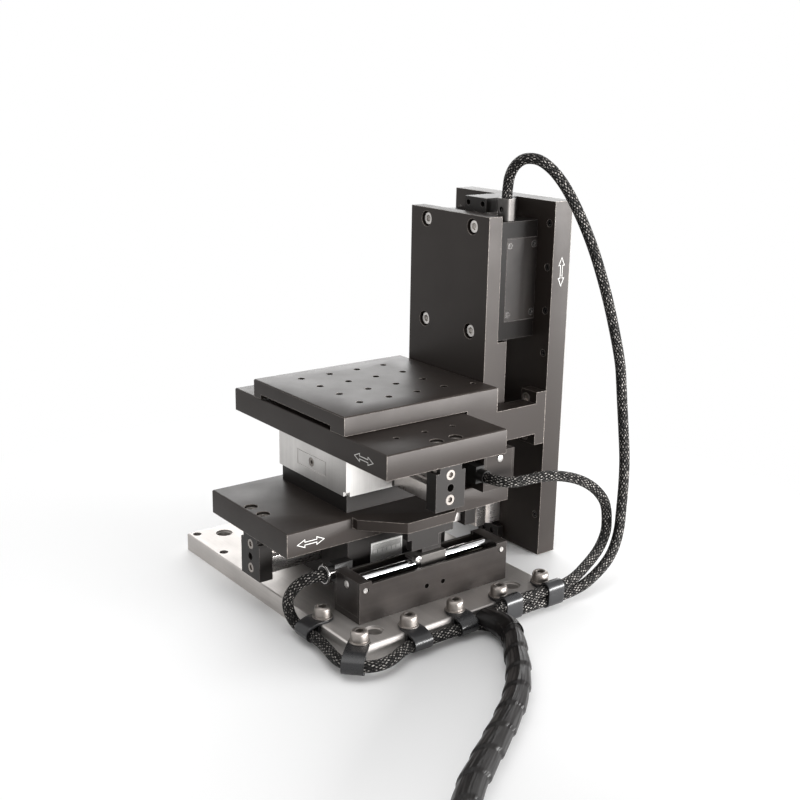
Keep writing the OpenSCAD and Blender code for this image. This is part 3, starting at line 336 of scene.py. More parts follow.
@dataclass(frozen=True)
class Finish:
    """One surface finish of the stage, made as a procedural material.

    Colours are linear. The second colour is the one at rubbed edges, where it is real wear and a painted
    highlight;
    in the braid it is painted shade in the gaps between strands, on the wrap the colour of its scuffs. Spread
    is how far the roughness wanders. Height and edge are in metres.
    """

    name: str
    colour: Colour
    wear_and_painted_light: Colour
    metallic: float = 0.0
    roughness: float = 0.4
    spread: float = 0.08
    ior: float = 1.5
    grain: Grain = Grain.BLASTED
    scale: float = 2600.0
    height: float = 0.000012
    edge: float = 0.0004
    wear_and_highlight: float = 0.6
    marks: float = 0.12
    streaks: float = 0.14

    def material(self) -> bpy.types.Material:
        """Returns the finish's material, built on first use."""
        found = bpy.data.materials.get(self.name)
        if found is not None:
            return found
        material = bpy.data.materials.new(self.name)
        material.diffuse_color = (*self.colour, 1.0)
        material.use_nodes = True
        g = Graph(material.node_tree)
        g.tree.nodes.clear()
        colour, rough, height = self.paint(g)
        bump = g.fill(g.node("Bump"), ("Distance", "Height"), self.height, height).outputs[0]
        keys = ("Metallic", "IOR", "Base Color", "Roughness", "Normal")
        skin = g.fill(g.node("BsdfPrincipled"), keys, self.metallic, self.ior, colour, rough, bump)
        g.fill(g.node("OutputMaterial"), (0,), skin.outputs[0])
        return material

    def paint(self, g: Graph) -> Skin:
        """Returns the colour, roughness and height over the surface."""
        blasted = BlastedGrain.place(g, Grain=self.scale)
        height, streak = blasted["Height"], blasted["Speck"]
        if self.grain is not Grain.BLASTED:
            lines = GroundLines.place(g, **{"Pitch": self.scale, "Run X": 0.0, self.grain.value: 1.0})
            height, streak = lines["Height"], lines["Streak"]
        # The rubbed-edge colour along edges is real wear and also a painted highlight on the chamfers.
        wear_and_highlight = g.maths("MULTIPLY", EdgeWearAndHighlight.place(g, Radius=self.edge)["Mask"], self.wear_and_highlight)
        shade = g.maths("MULTIPLY_ADD", blasted["Marks"], self.marks, 1.0 - self.marks / 2)
        tone = g.maths("MULTIPLY_ADD", streak, self.streaks, 1.0 - self.streaks / 2)
        colour = g.blend(wear_and_highlight, g.scaled(self.colour, g.maths("MULTIPLY", shade, tone)), self.wear_and_painted_light)
        rough = g.maths("MULTIPLY_ADD", blasted["Marks"], -self.spread, self.roughness + self.spread / 2)
        return colour, g.maths("MULTIPLY_ADD", streak, self.spread / 2, rough, clamp=True), height


@dataclass(frozen=True)
class BraidFinish(Finish):
    """Braided sleeving: dark strands with painted glints where single threads catch the light, and painted
    shade in the gaps between strands.
    """

    fleck: Colour = (0.42, 0.395, 0.37)
    strands: float = 11.0
    pitch: float = 0.0290

    def paint(self, g: Graph) -> Skin:
        """Returns the colour, roughness and height over the surface."""
        weave = BraidWeave.place(g, Strands=self.strands, Pitch=self.pitch)
        # Painted shade: darker in the gaps between strands, lighter on the crests; painted glints go on top.
        ground = g.blend(weave["Crest"], self.wear_and_painted_light, self.colour)
        rough = g.maths("MULTIPLY_ADD", weave["Crest"], -self.spread, self.roughness)
        return g.blend(weave["Fleck"], ground, self.fleck), rough, weave["Height"]


@dataclass(frozen=True)
class WrapFinish(Finish):
    """Smooth black film wound round a bundle, with the leads' ridges showing through."""

    def paint(self, g: Graph) -> Skin:
        """Returns the colour, roughness and height over the surface."""
        ridges = WrapRidges.place(g)
        colour = g.blend(g.maths("MULTIPLY", ridges["Scuff"], self.wear_and_highlight), self.colour, self.wear_and_painted_light)
        rough = g.maths("MULTIPLY_ADD", ridges["Scuff"], self.spread, self.roughness)
        return colour, rough, ridges["Height"]


# Finishes

# The pale rubbed-edge colour at a high share paints a bright highlight along the plates' chamfers, as well as
# wear.
PLATE_BLACK = Finish("plate_black_anodised", (0.021, 0.016, 0.0135), (0.46, 0.41, 0.37), 0.22, 0.42,
                     ior=1.36, wear_and_highlight=0.85)
BODY_BLACK = Finish("body_black_anodised", (0.013, 0.011, 0.010), (0.22, 0.20, 0.19), 0.15, 0.44, ior=1.36)
CHANNEL_DARK = Finish("channel_dark_anodised", (0.034, 0.029, 0.0265), (0.34, 0.32, 0.30), 0.45, 0.32,
                      ior=1.4, grain=Grain.GROUND_X, scale=2400.0, marks=0.6, wear_and_highlight=0.35)
GUIDE_SILVER = Finish("guide_silver_ground", (0.56, 0.545, 0.53), (0.78, 0.76, 0.74), 0.9, 0.36,
                      grain=Grain.GROUND_Z, scale=2200.0, marks=0.2, height=0.000008)
BASE_STEEL = Finish("base_ground_steel", (0.48, 0.455, 0.435), (0.86, 0.84, 0.82), 0.88, 0.46,
                    grain=Grain.GROUND_Y, scale=1800.0, marks=0.14, height=0.000006)
RAIL_STEEL = Finish("rail_ground_steel", (0.62, 0.59, 0.57), (0.8, 0.78, 0.76), 0.95, 0.26,
                    grain=Grain.GROUND_X, scale=3000.0, height=0.000005)
ROD_POLISHED = Finish("rod_polished_steel", (0.82, 0.82, 0.83), (0.9, 0.9, 0.9), 1.0, 0.12, 0.05,
                      grain=Grain.GROUND_X, scale=3400.0, height=0.000002, edge=0.0002)
SCREW_STEEL = Finish("screw_satin_steel", (0.29, 0.265, 0.245), (0.6, 0.57, 0.55), 1.0, 0.38, 0.14,
                     scale=3000.0, edge=0.0003, marks=0.35)
CLAMP_STEEL = Finish("clamp_dark_nickel", (0.085, 0.08, 0.077), (0.3, 0.28, 0.27), 1.0, 0.36, 0.2,
                     grain=Grain.GROUND_Z, scale=700.0, marks=0.9, height=0.00001)
RING_STEEL = Finish("ring_polished_steel", (0.48, 0.46, 0.45), (0.7, 0.68, 0.66), 1.0, 0.2, scale=3000.0)
MOTOR_BLACK = Finish("motor_black_anodised", (0.007, 0.006, 0.0055), (0.2, 0.18, 0.17), 0.08, 0.32, ior=1.16)
COVER_BLACK = Finish("cover_black_brushed", (0.012, 0.010, 0.009), (0.22, 0.20, 0.19), 0.18, 0.34, 0.2,
                     ior=1.26, grain=Grain.GROUND_Z, scale=900.0, marks=0.9)
SCREW_BRIGHT = Finish("screw_bright_steel", (0.56, 0.54, 0.52), (0.75, 0.73, 0.71), 1.0, 0.3, 0.1,
                      scale=3000.0, edge=0.0003)
# The pale rubbed-edge colour paints a light ring of highlight round each dark screw head, as well as wear.
SCREW_BLACK = Finish("screw_black_steel", (0.035, 0.033, 0.032), (0.42, 0.40, 0.38), 0.8, 0.34,
                     scale=3000.0, edge=0.00025, wear_and_highlight=0.8)
SLIDER_DARK = Finish("slider_grey_anodised", (0.17, 0.16, 0.15), (0.5, 0.48, 0.46), 0.8, 0.36,
                     grain=Grain.GROUND_X)
CERAMIC = Finish("piezo_ceramic", (0.5, 0.46, 0.38), (0.6, 0.56, 0.48), 0.0, 0.5)
BRASS = Finish("cage_brass", (0.55, 0.42, 0.2), (0.7, 0.58, 0.34), 1.0, 0.3, scale=2400.0)
CLIP_PLASTIC = Finish("clip_black_plastic", (0.012, 0.012, 0.013), (0.03, 0.03, 0.03), 0.0, 0.27, 0.08,
                      scale=1500.0, height=0.00001, wear_and_highlight=0.4)
WRAP_PLASTIC = WrapFinish("wrap_black_film", (0.007, 0.006, 0.006), (0.014, 0.013, 0.012), 0.0, 0.29, 0.1,
                          ior=1.28, height=0.0012, wear_and_highlight=0.5)
PRINT_WHITE = Finish("print_white_ink", (0.66, 0.65, 0.63), (0.7, 0.69, 0.67), 0.0, 0.6, wear_and_highlight=0.0)
SCALE_PRINT = Finish("scale_strip_film", (0.68, 0.67, 0.65), (0.8, 0.8, 0.78), 0.25, 0.3, wear_and_highlight=0.2)
PLUG_METAL = Finish("plug_nickel", (0.6, 0.58, 0.56), (0.8, 0.78, 0.76), 1.0, 0.24, grain=Grain.GROUND_X)
GLAND_BLACK = Finish("gland_black_nylon", (0.010, 0.0095, 0.009), (0.03, 0.028, 0.026), 0.0, 0.45, ior=1.36)
# The near-black second colour is painted shade in the gaps between strands, and the pale glint colour is a
# painted highlight.
SLEEVE = BraidFinish("lead_braided_sleeve", (0.011, 0.010, 0.0095), (0.001, 0.001, 0.001), 0.0, 0.6, 0.12,
                     ior=1.25, height=0.0006)


# Mesh work


def linked(name: str, data: bpy.types.ID) -> Object:
    """A new object in the scene with this data."""
    made = bpy.data.objects.new(name, data)
    bpy.context.scene.collection.objects.link(made)
    return made


def verts_in(geom: list) -> list[bmesh.types.BMVert]:
    """The vertices in an operator's result."""
    return [part for part in geom if isinstance(part, bmesh.types.BMVert)]


def edges_in(geom: list) -> list[bmesh.types.BMEdge]:
    """The edges in an operator's result."""
    return [part for part in geom if isinstance(part, bmesh.types.BMEdge)]


def sharp_edges(bm: Mesh, degrees: float) -> list[bmesh.types.BMEdge]:
    """The edges between two faces that turn by more than these degrees."""
    limit = math.radians(degrees)
    return [e for e in bm.edges if len(e.link_faces) == 2 and e.calc_face_angle(0.0) > limit]


def outward(bm: Mesh) -> None:
    """Turns all the faces outwards."""
    bmesh.ops.recalc_face_normals(bm, faces=bm.faces)


def bevelled(bm: Mesh, degrees: float, width: float, segments: int, **settings: bool) -> None:
    """Breaks the edges that turn by more than these degrees, by a width in millimetres."""
    bmesh.ops.bevel(bm, geom=sharp_edges(bm, degrees), offset=width * MM, offset_type="OFFSET",
                    affect="EDGES", segments=segments, profile=0.5, material=-1, clamp_overlap=True, **settings)


def finish_mesh(bm: Mesh, name: str, finish: Finish, sharp: float = 30.0) -> Object:
    """Turns a bmesh into a named object in the scene.

    Args:
        bm: The mesh, in metres, freed here.
        name: The piece's name.
        finish: Its finish.
        sharp: Edges that turn by more than this many degrees stay sharp.

    Returns:
        The new object.
    """
    limit = math.radians(sharp)
    for face in bm.faces:
        face.smooth = True
    for edge in bm.edges:
        edge.smooth = len(edge.link_faces) == 2 and edge.calc_face_angle(0.0) < limit
    mesh = bpy.data.meshes.new(name)
    bm.to_mesh(mesh)
    bm.free()
    mesh.materials.append(finish.material())
    return linked(name, mesh)


def settle(piece: Object, body: Body, slot: str, *nodes: str) -> Object:
    """Puts a finished piece on its body and in the place of CAD nodes.

    Args:
        piece: The piece.
        body: The body that carries it.
        slot: The record's material slot; not used.
        nodes: CAD nodes that it stands for.

    Returns:
        The piece.
    """
    if nodes:
        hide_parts(*nodes)
    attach(piece, body.value)
    log.info("%s: %d faces on %s", piece.name, len(piece.data.polygons), body.value)
    return piece


def edged_copy(node: str, finish: Finish, width: float) -> Object:
    """A copy of a CAD node with its sharp edges broken by a small machined chamfer.

    Args:
        node: The CAD node.
        finish: The finish.
        width: The chamfer in millimetres.

    Returns:
        The new object, not yet on its body.
    """
    bm = bmesh.new()
    bm.from_mesh(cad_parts[node].data)
    bmesh.ops.remove_doubles(bm, verts=bm.verts, dist=MERGE)
    bmesh.ops.dissolve_limit(bm, angle_limit=math.radians(0.5), verts=bm.verts, edges=bm.edges)
    bevelled(bm, 30.0, width, 1, loop_slide=True)
    return finish_mesh(bm, f"{node}.edged", finish)


def dress(body: Body, slot: str, finish: Finish, *nodes: str, width: float = 0.25) -> None:
    """Replaces each CAD node by its edged copy in one finish, on one body."""
    for node in nodes:
        settle(edged_copy(node, finish, width), body, slot, node)


def repaint(finish: Finish, *nodes: str) -> None:
    """Gives CAD nodes that stay as they are a finish in all their material slots."""
    for node in nodes:
        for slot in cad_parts[node].material_slots:
            slot.material = finish.material()
        log.info("%s: keeps its CAD mesh, %s", node, finish.name)


def turned(profile: Profile, steps: int) -> Mesh:
    """A part turned round the Z axis, closed where its profile starts and ends on the axis.

    Args:
        profile: Radius and height in millimetres.
        steps: Steps of the full turn.

    Returns:
        The mesh.
    """
    bm = bmesh.new()
    verts = [bm.verts.new((r * MM, 0, z * MM)) for r, z in profile]
    edges = [bm.edges.new(pair) for pair in zip(verts, verts[1:])]
    bmesh.ops.spin(bm, geom=verts + edges, axis=UP, angle=math.tau, steps=steps, use_merge=True)
    bmesh.ops.remove_doubles(bm, verts=bm.verts, dist=MERGE)
    outward(bm)
    return bm


def arc(x: float, z: float, r: float, start: float, end: float, steps: int) -> Profile:
    """Points round (x, z) at radius r, by degrees from straight up towards +X."""
    turns = [math.radians(start + (end - start) * k / steps) for k in range(steps + 1)]
    return [(x + r * math.sin(turn), z + r * math.cos(turn)) for turn in turns]


def join(target: Mesh, part: Mesh, place: Matrix) -> None:
    """Adds a part to the target at a place, and frees the part."""
    bmesh.ops.transform(part, matrix=place, verts=part.verts)
    spare = bpy.data.meshes.new("spare")
    part.to_mesh(spare)
    part.free()
    target.from_mesh(spare)
    bpy.data.meshes.remove(spare)


def aimed(point: Point, axis: Point) -> Matrix:
    """The place of a part whose own Z axis points along axis, with its origin at a point in millimetres."""
    return Matrix.Translation(mm(point)) @ Vector(axis).to_track_quat("Z", "Y").to_matrix().to_4x4()


def standing(x: Vector, y: Vector, z: Vector, at: Vector) -> Matrix:
    """The place with these three axes and this origin."""
    return Matrix((*zip(x, y, z, at), (0, 0, 0, 1)))


@dataclass(frozen=True)
class CapScrew:
    """A socket head screw with a flange, a crowned head and a stub of its shank."""

    head_d: float = 7.2
    head_h: float = 4.8
    socket_d: float = 3.6
    shank_d: float = 4.0
    shank_l: float = 3.0
    flange_d: float = 8.6
    crown: float = 0.11
    steps: int = 36

    def mesh(self) -> Mesh:
        """The screw with its head's underside at z = 0, pointing up."""
        r, h, c = self.head_d / 2, self.head_h, self.head_d * self.crown
        rim = self.socket_d / 2 + 0.25
        foot = [(0, -self.shank_l), (self.shank_d / 2, -self.shank_l), (self.shank_d / 2, 0)]
        flange = [(self.flange_d / 2, 0), (self.flange_d / 2, 0.35), (r, 0.55)]
        head = [(r, h - c * 1.6), (r - c * 0.35, h - c * 0.7), (r - c, h - c * 0.15)]
        bm = turned([*foot, *flange, *head, (rim + 0.2, h), (rim, h)], self.steps)
        ring = [e for e in bm.edges if e.is_boundary]
        hexagon = bmesh.ops.create_circle(bm, segments=self.steps, radius=1.0, cap_ends=False)["verts"]
        for vert in hexagon:
            turn = math.atan2(vert.co.y, vert.co.x) % (math.pi / 3) - math.pi / 6
            reach = self.socket_d / 2 * MM * math.cos(math.pi / 6) / math.cos(turn)
            vert.co = (vert.co.x * reach, vert.co.y * reach, (h - 0.1) * MM)
        lip = list({e for v in hexagon for e in v.link_edges})
        bmesh.ops.bridge_loops(bm, edges=ring + lip)
        walls = bmesh.ops.extrude_edge_only(bm, edges=lip)["geom"]
        bmesh.ops.translate(bm, verts=verts_in(walls), vec=(0, 0, -h * 0.55 * MM))
        bmesh.ops.edgeloop_fill(bm, edges=[e for e in edges_in(walls) if e.is_boundary])
        outward(bm)
        return bm


# Leads


@dataclass
class Route:
    """A smooth line through given points, walked in even steps."""

    points: Line
    step: float

    def __post_init__(self) -> None:
        """Walks the line."""
        self.line = self.even(self.dense())

    def dense(self, between: int = 12) -> list[Vector]:
        """Centripetal spline points in millimetres, so many to each length between two given points."""

        def pull(a: Vector, b: Vector, low: float, high: float, t: float) -> Vector:
            """The point at t on the line with a at low and b at high."""
            return a * ((high - t) / (high - low)) + b * ((t - low) / (high - low))

        raw = [Vector(p) for p in self.points]
        ends = [raw[0] * 2 - raw[1]] + raw + [raw[-1] * 2 - raw[-2]]
        found: list[Vector] = []
        for a, b, c, d in zip(ends, ends[1:], ends[2:], ends[3:]):
            ta = 0.0
            tb = ta + (b - a).length ** 0.5
            tc = tb + (c - b).length ** 0.5
            td = tc + (d - c).length ** 0.5
            for k in range(between):
                t = tb + (tc - tb) * k / between
                ab, bc, cd = pull(a, b, ta, tb, t), pull(b, c, tb, tc, t), pull(c, d, tc, td, t)
                found.append(pull(pull(ab, bc, ta, tc, t), pull(bc, cd, tb, td, t), tb, tc, t))
        return found + [raw[-1]]

    def even(self, dense: list[Vector]) -> list[Vector]:
        """The same line at even steps, in metres."""
        lengths = [0.0]
        for a, b in zip(dense, dense[1:]):
            lengths.append(lengths[-1] + (b - a).length)
        count = max(4, round(lengths[-1] / self.step))
        line, k = [], 0
        for i in range(count + 1):
            goal = lengths[-1] * i / count
            while k < len(dense) - 2 and lengths[k + 1] < goal:
                k += 1
            share = (goal - lengths[k]) / max(lengths[k + 1] - lengths[k], 1e-9)
            line.append(dense[k].lerp(dense[k + 1], min(max(share, 0.0), 1.0)) * MM)
        return line

    def length(self) -> float:
        """The line's length in metres."""
        return sum((b - a).length for a, b in zip(self.line, self.line[1:]))

    def frames(self, first: Point, last: Point) -> list[Matrix]:
        """Places along the line that look along it and don't twist.

        Args:
            first: Direction at the start.
            last: Direction at the end.

        Returns:
            One matrix for each point.
        """
        line, found = self.line, []
        ways = [Vector(first)] + [b - a for a, b in zip(line, line[2:])] + [Vector(last)]
        side = Vector((0.31, 0.17, 0.93))
        for at, way in zip(line, ways):
            ahead = way.normalized()
            side = (side - ahead * side.dot(ahead)).normalized()
            found.append(standing(side, ahead.cross(side), ahead, at))
        return found


def sleeve_mesh(route: Route, radius, sides: int, first: Point, last: Point, before: float = 0.0) -> Mesh:
    """A closed tube along a route, bent from a flat grid, with U round it and V along it in metres.

    Args:
        route: The line that it follows.
        radius: A function of the angle and the length so far that gives the radius, in metres.
        sides: Faces round it.
        first: Direction of its first end.
        last: Direction of its last end.
        before: Length of what it continues, for V.

    Returns:
        The mesh.
    """
    places = route.frames(first, last)
    rings = len(places) - 1
    whole = route.length()
    bm = bmesh.new()
    uv = bm.loops.layers.uv.new("UVMap")
    bmesh.ops.create_grid(bm, x_segments=sides, y_segments=rings, size=0.5, calc_uvs=False)
    for face in bm.faces:
        for loop in face.loops:
            loop[uv].uv = (loop.vert.co.x + 0.5, before + (loop.vert.co.y + 0.5) * whole)
    for vert in bm.verts:
        k = round((vert.co.y + 0.5) * rings)
        turn = (vert.co.x + 0.5) * math.tau
        r = radius(turn, k / rings * whole)
        vert.co = places[k] @ Vector((r * math.cos(turn), r * math.sin(turn), 0))
    bmesh.ops.remove_doubles(bm, verts=bm.verts, dist=MERGE)
    bmesh.ops.holes_fill(bm, edges=[e for e in bm.edges if e.is_boundary], sides=0)
    outward(bm)
    return bm


@dataclass
class Lead:
    """One braided lead, or the part of it that moves in one way."""

    name: str
    node: str
    points: Line
    first: Point
    last: Point
    before: float = 0.0
    diameter: float = 4.8
    step: float = 0.7
    sides: int = 20

    def __post_init__(self) -> None:
        """Walks the route."""
        self.route = Route(self.points, self.step)

    def build(self) -> Object:
        radius = self.diameter / 2 * MM
        bm = sleeve_mesh(self.route, lambda turn, s: radius, self.sides, self.first, self.last, self.before)
        piece = finish_mesh(bm, self.name, SLEEVE, 50.0)
        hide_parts(self.node)
        self.route.length()
        log.info("%s: %.0f mm long", self.name, self.route.length() / MM)
        return piece


@dataclass
class Wiring:
    """The braided leads of the three motors, their trunk in spiral wrap, its coil and its plug."""

    trunk_d: float = 10.4
    wrap_pitch: float = 15.0
    wrap_step: float = 0.62
    wrap_lap: float = 0.07
    wrap_sides: int = 24
    trunk_step: float = 0.85
    coil_start: Point = (-98.5, -294, 6.1)
    coil_heading: float = 270.0
    coil_r: float = 64.0
    coil_loops: int = 2
    coil_gap: float = 0.6
    tie_w: float = 10.0
    tie_slack: float = 1.2
    boot_wide: float = 8.6
    boot_tall: float = 4.4
    boot_r: float = 5.55
    boot_taper: float = 0.72
    boot_step: float = 0.6
    boot_sides: int = 40
    trunk_way: Point = SOUTH
    boot_points: Line = (
        (12.6, -75.5, 5.3), (12.7, -80, 5.4), (12.5, -84.5, 5.4), (11.7, -89, 5.3), (10, -93, 5.3),
    )
    x_points: Line = (
        (-44.5, -35.6, 24.7), (-47.4, -35.4, 24.7), (-51.2, -34.2, 23.9), (-54.6, -32.3, 21.6),
        (-57, -30.4, 17.8), (-57.9, -29.3, 13.4), (-57.8, -29.9, 10), (-57.5, -31.8, 7.2),
        (-57.1, -34.5, 5.4), (-56.7, -37.8, 4.7), (-56.5, -42, 4.7), (-56.5, -47, 4.7), (-56.9, -53, 4.7),
        (-58.2, -60, 4.9), (-59.6, -66.5, 5.1), (-59.8, -72, 5.2), (-57.8, -77, 5.2), (-54, -80.4, 5.2),
        (-48.8, -81.9, 5), (-42, -80.8, 4.8), (-35, -77.8, 4.7), (-29, -76.1, 4.7), (-20, -76, 4.7),
        (-5, -76, 4.7), (2.6, -76, 4.6), (5.6, -76.5, 4.3), (8.25, -78.05, 4), (10.05, -80.1, 3.8),
    )
    y_upper: Line = (
        (36.5, -44.5, 53.9), (36.7, -47.6, 53.9), (38.6, -51.6, 53.7), (42.4, -54.4, 53.4),
        (48.5, -55.8, 53.4), (56, -57, 53.7), (63, -58.5, 53.4), (69.5, -60, 52.2), (77, -61, 49.6),
        (84.2, -62, 45.6), (89.6, -62.9, 40.8), (92.9, -63.6, 36), (94.2, -64, 31.5),
    )
    y_lower: Line = (
        (94.2, -64, 31.5), (94.1, -64.6, 27.2), (92.7, -65.8, 22.8), (89.2, -67.2, 18.6),
        (84.6, -68.8, 15.6), (79.6, -70.3, 13.5), (73.6, -72.1, 11.8), (67.2, -74, 10.3),
        (60.8, -75.4, 9.3), (53.5, -76, 8.85), (44.5, -76, 8.85), (32, -76, 8.85), (22.6, -76, 8.85),
        (19.6, -76.5, 8.8), (16.95, -78.05, 8.7), (15.15, -80.1, 8.65),
    )
    z_upper: Line = (
        (67.5, -16, 172.5), (67.4, -16.4, 177), (66, -19, 182.6), (64.8, -24, 187.8), (65.2, -29.6, 190.8),
        (68.2, -34.4, 190.6), (72.6, -37.6, 187.2), (77.4, -40.4, 181.2), (83.4, -43.8, 170.4),
        (90.4, -48, 153.6), (96.6, -52.2, 133), (100.9, -56.2, 112), (102.4, -58.8, 99), (102.8, -60, 90),
    )
    z_lower: Line = (
        (102.8, -60, 90), (103, -61, 82), (102.8, -63.2, 69), (101.7, -66, 56), (100, -68, 44.6),
        (98, -69.5, 32.5), (96.6, -70.4, 25.2), (93.8, -71.5, 19), (89.4, -72.9, 14.2), (83.2, -74.5, 10.8),
        (75.4, -75.9, 7.9), (68, -76.8, 5.9), (60.6, -76.4, 4.4), (53.5, -76, 3.95), (44.5, -76, 3.95),
        (32, -76, 3.95), (22.6, -76, 3.95), (19.6, -76.5, 3.9), (16.95, -78.05, 3.85), (15.15, -80.1, 3.8),
    )
    trunk: Line = (
        (12.6, -80.1, 5.2), (12.6, -84, 5.2), (11.9, -88, 5.2), (10, -93, 5.2), (6.6, -98.4, 5.2),
        (1.6, -104.8, 5.2), (-8, -117, 5.2), (-22.5, -131, 5.2), (-40, -143.5, 5.2), (-57, -154.3, 5.2),
        (-72, -164.2, 5.2), (-83, -173.8, 5.2), (-91.4, -185.8, 5.3), (-96.7, -199.4, 5.5),
        (-98.5, -214, 5.7), (-98.5, -238, 5.9), (-98.5, -262, 6.1),
    )

    def __post_init__(self) -> None:
        """Works out the coil's pitch, its middle and where the plug comes to lie."""
        self.pitch = self.trunk_d + self.coil_gap
        self.way = Vector((*self.toward(self.coil_heading), 0))
        aside = Vector((-self.way.y, self.way.x, 0))
        self.coil_mid = Vector(self.coil_start) + self.way * self.trunk_d + aside * self.coil_r
        self.turns = 2 * self.coil_loops - 0.2
        last = self.coil_heading + 360 * self.turns
        self.plug_way = Vector((*self.toward(last), 0))
        self.plug_at = Vector(self.coil_point(self.turns)) + self.plug_way * self.trunk_d

    @staticmethod
    def toward(degrees: float) -> tuple[float, float]:
        """The X and Y of a step of 1 in a heading."""
        return math.cos(math.radians(degrees)), math.sin(math.radians(degrees))

    def coil_point(self, t: float) -> Point:
        """A point of the coil after t turns: loops inwards on the floor, then back out on top of them."""
        loops, inner = self.coil_loops, self.coil_r - self.pitch * self.coil_loops
        if t <= loops:
            r = self.coil_r - self.pitch * t
        elif t <= loops + 0.5:
            r = inner - self.pitch * min(t - loops, loops + 0.5 - t)
        else:
            r = inner + self.pitch * (t - loops - 0.5)
        x, y = self.toward(self.coil_heading - 90 + 360 * t)
        lift = self.pitch * min(1.0, max(0.0, 2 * (t - loops)))
        return (self.coil_mid.x + r * x, self.coil_mid.y + r * y, self.coil_start[2] + lift)

    def coil(self, steps: int = 20) -> Line:
        """The coil's points, so many to a turn, from the trunk to the plug."""
        rounds = [self.coil_point(i / steps) for i in range(round(self.turns * steps) + 1)]
        return (self.coil_start, *rounds, tuple(self.plug_at))

    def build_leads(self) -> None:
        """Makes the five lengths of lead; the X lead goes on the base and the upper Y lead on the X carriage.
        """
        x_lead = Lead("x_lead", "x_cable", self.x_points, WEST, self.trunk_way)
        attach(x_lead.build(), Body.BASE.value)
        high = Lead("y_lead_upper", "y_cable_upper", self.y_upper, SOUTH, DOWN)
        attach(high.build(), Body.X.value)
        low = Lead("y_lead_lower", "y_cable_lower", self.y_lower, DOWN, self.trunk_way, high.route.length())
        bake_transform(low.build())
        high = Lead("z_lead_upper", "z_cable_upper", self.z_upper, UP, DOWN)
        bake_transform(high.build())
        low = Lead("z_lead_lower", "z_cable_lower", self.z_lower, DOWN, self.trunk_way, high.route.length())
        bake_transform(low.build())

    def wrap_radius(self, turn: float, s: float) -> float:
        """The wrapped trunk's radius: each turn of the band flares and laps over the next one.

        Args:
            turn: Angle round the trunk in radians.
            s: Length so far in metres.

        Returns:
            The radius in metres.
        """
        phase = (s / MM / self.wrap_pitch - turn / math.tau) % 1.0
        flare = min(phase / (1.0 - self.wrap_lap), (1.0 - phase) / self.wrap_lap)
        return (self.trunk_d / 2 - self.wrap_step * (1.0 - flare)) * MM

    def build_trunk(self) -> None:
        """Makes the wrapped trunk with its coil, plug, tie and branching boot."""
        route = Route(self.trunk + self.coil(), self.trunk_step)
        bm = sleeve_mesh(route, self.wrap_radius, self.wrap_sides, self.trunk_way, tuple(self.plug_way))
        trunk = finish_mesh(bm, "wrapped_trunk", WRAP_PLASTIC, 40.0)
        settle(trunk, Body.BASE, "trunk_wrap", "cable_trunk", "trunk_coil")
        plug, tie, boot = self.plug(), self.tie(), self.boot()
        route.length()
        log.info("wrapped_trunk: %.0f mm long", route.length() / MM)

    def plug(self) -> Object:
        """The round connector at the trunk's end, with a ribbed nut and its contacts' insert."""
        ribs = []
        for z in (15.2 + 1.5 * k for k in range(9)):
            ribs += [(5.5, z), (5.5, z + 0.8), (5.25, z + 0.95), (5.25, z + 1.35)]
        sleeve = [(0, 0), (4.9, 0), (5.5, 0.6), (5.5, 7.4), (5.2, 8), (4.5, 8), (4.5, 14)]
        nut = [(5.1, 14), (5.5, 14.5), *ribs, (5.5, 29.3), (5.1, 30), (4.2, 30), (4.2, 24), (0, 24)]
        bm = turned(sleeve + nut, 40)
        pin = [(0, 0), (0.45, 0), (0.45, 2.4), (0.3, 2.7), (0, 2.7)]
        for x, y in [(0.0, 0.0)] + arc(0.0, 0.0, 2.5, 30, 330, 5):
            join(bm, turned(pin, 10), aimed((x, y, 24.0), UP))
        bmesh.ops.transform(bm, matrix=aimed(self.plug_at, self.plug_way), verts=bm.verts)
        return settle(finish_mesh(bm, "round_plug", PLUG_METAL), Body.BASE, "plug_metal", "plug_and_tie")

    def tie(self) -> Object:
        """The flat hook-and-loop tie round the coil, a rounded loop seen from its side."""
        radius = self.trunk_d / 2
        inner = self.coil_r - self.pitch * (self.coil_loops + 0.25) - radius - self.tie_slack
        outer = self.coil_r + radius + self.tie_slack
        foot, top = 0.1, self.coil_start[2] + self.pitch + radius + 1.0
        mid, half, rise = (inner + outer) / 2, (outer - inner) / 2, (top - foot) / 2
        bm = bmesh.new()
        for vert in bmesh.ops.create_circle(bm, segments=48, radius=1.0, cap_ends=False)["verts"]:
            x, y = vert.co.x, vert.co.y
            grow = (abs(x) ** 5 + abs(y) ** 5) ** -0.2
            vert.co = mm((mid + half * x * grow, -self.tie_w / 2, foot + rise + rise * y * grow))
        wall = bmesh.ops.extrude_edge_only(bm, edges=bm.edges[:])["geom"]
        bmesh.ops.translate(bm, verts=verts_in(wall), vec=(0, self.tie_w * MM, 0))
        outward(bm)
        bmesh.ops.solidify(bm, geom=bm.faces[:], thickness=0.7 * MM)
        outward(bm)
        turn = Matrix.Rotation(math.radians(self.coil_heading + 40), 4, "Z")
        place = Matrix.Translation(mm((self.coil_mid.x, self.coil_mid.y, 0))) @ turn
        bmesh.ops.transform(bm, matrix=place, verts=bm.verts)
        return settle(finish_mesh(bm, "coil_tie", GLAND_BLACK), Body.BASE, "trunk_wrap", "plug_and_tie")

    def boot(self) -> Object:
        """The shrunk boot where the leads run together into the trunk: a tube flattened at its mouth."""
        route = Route(self.boot_points, self.boot_step)
        taper = route.length() * self.boot_taper

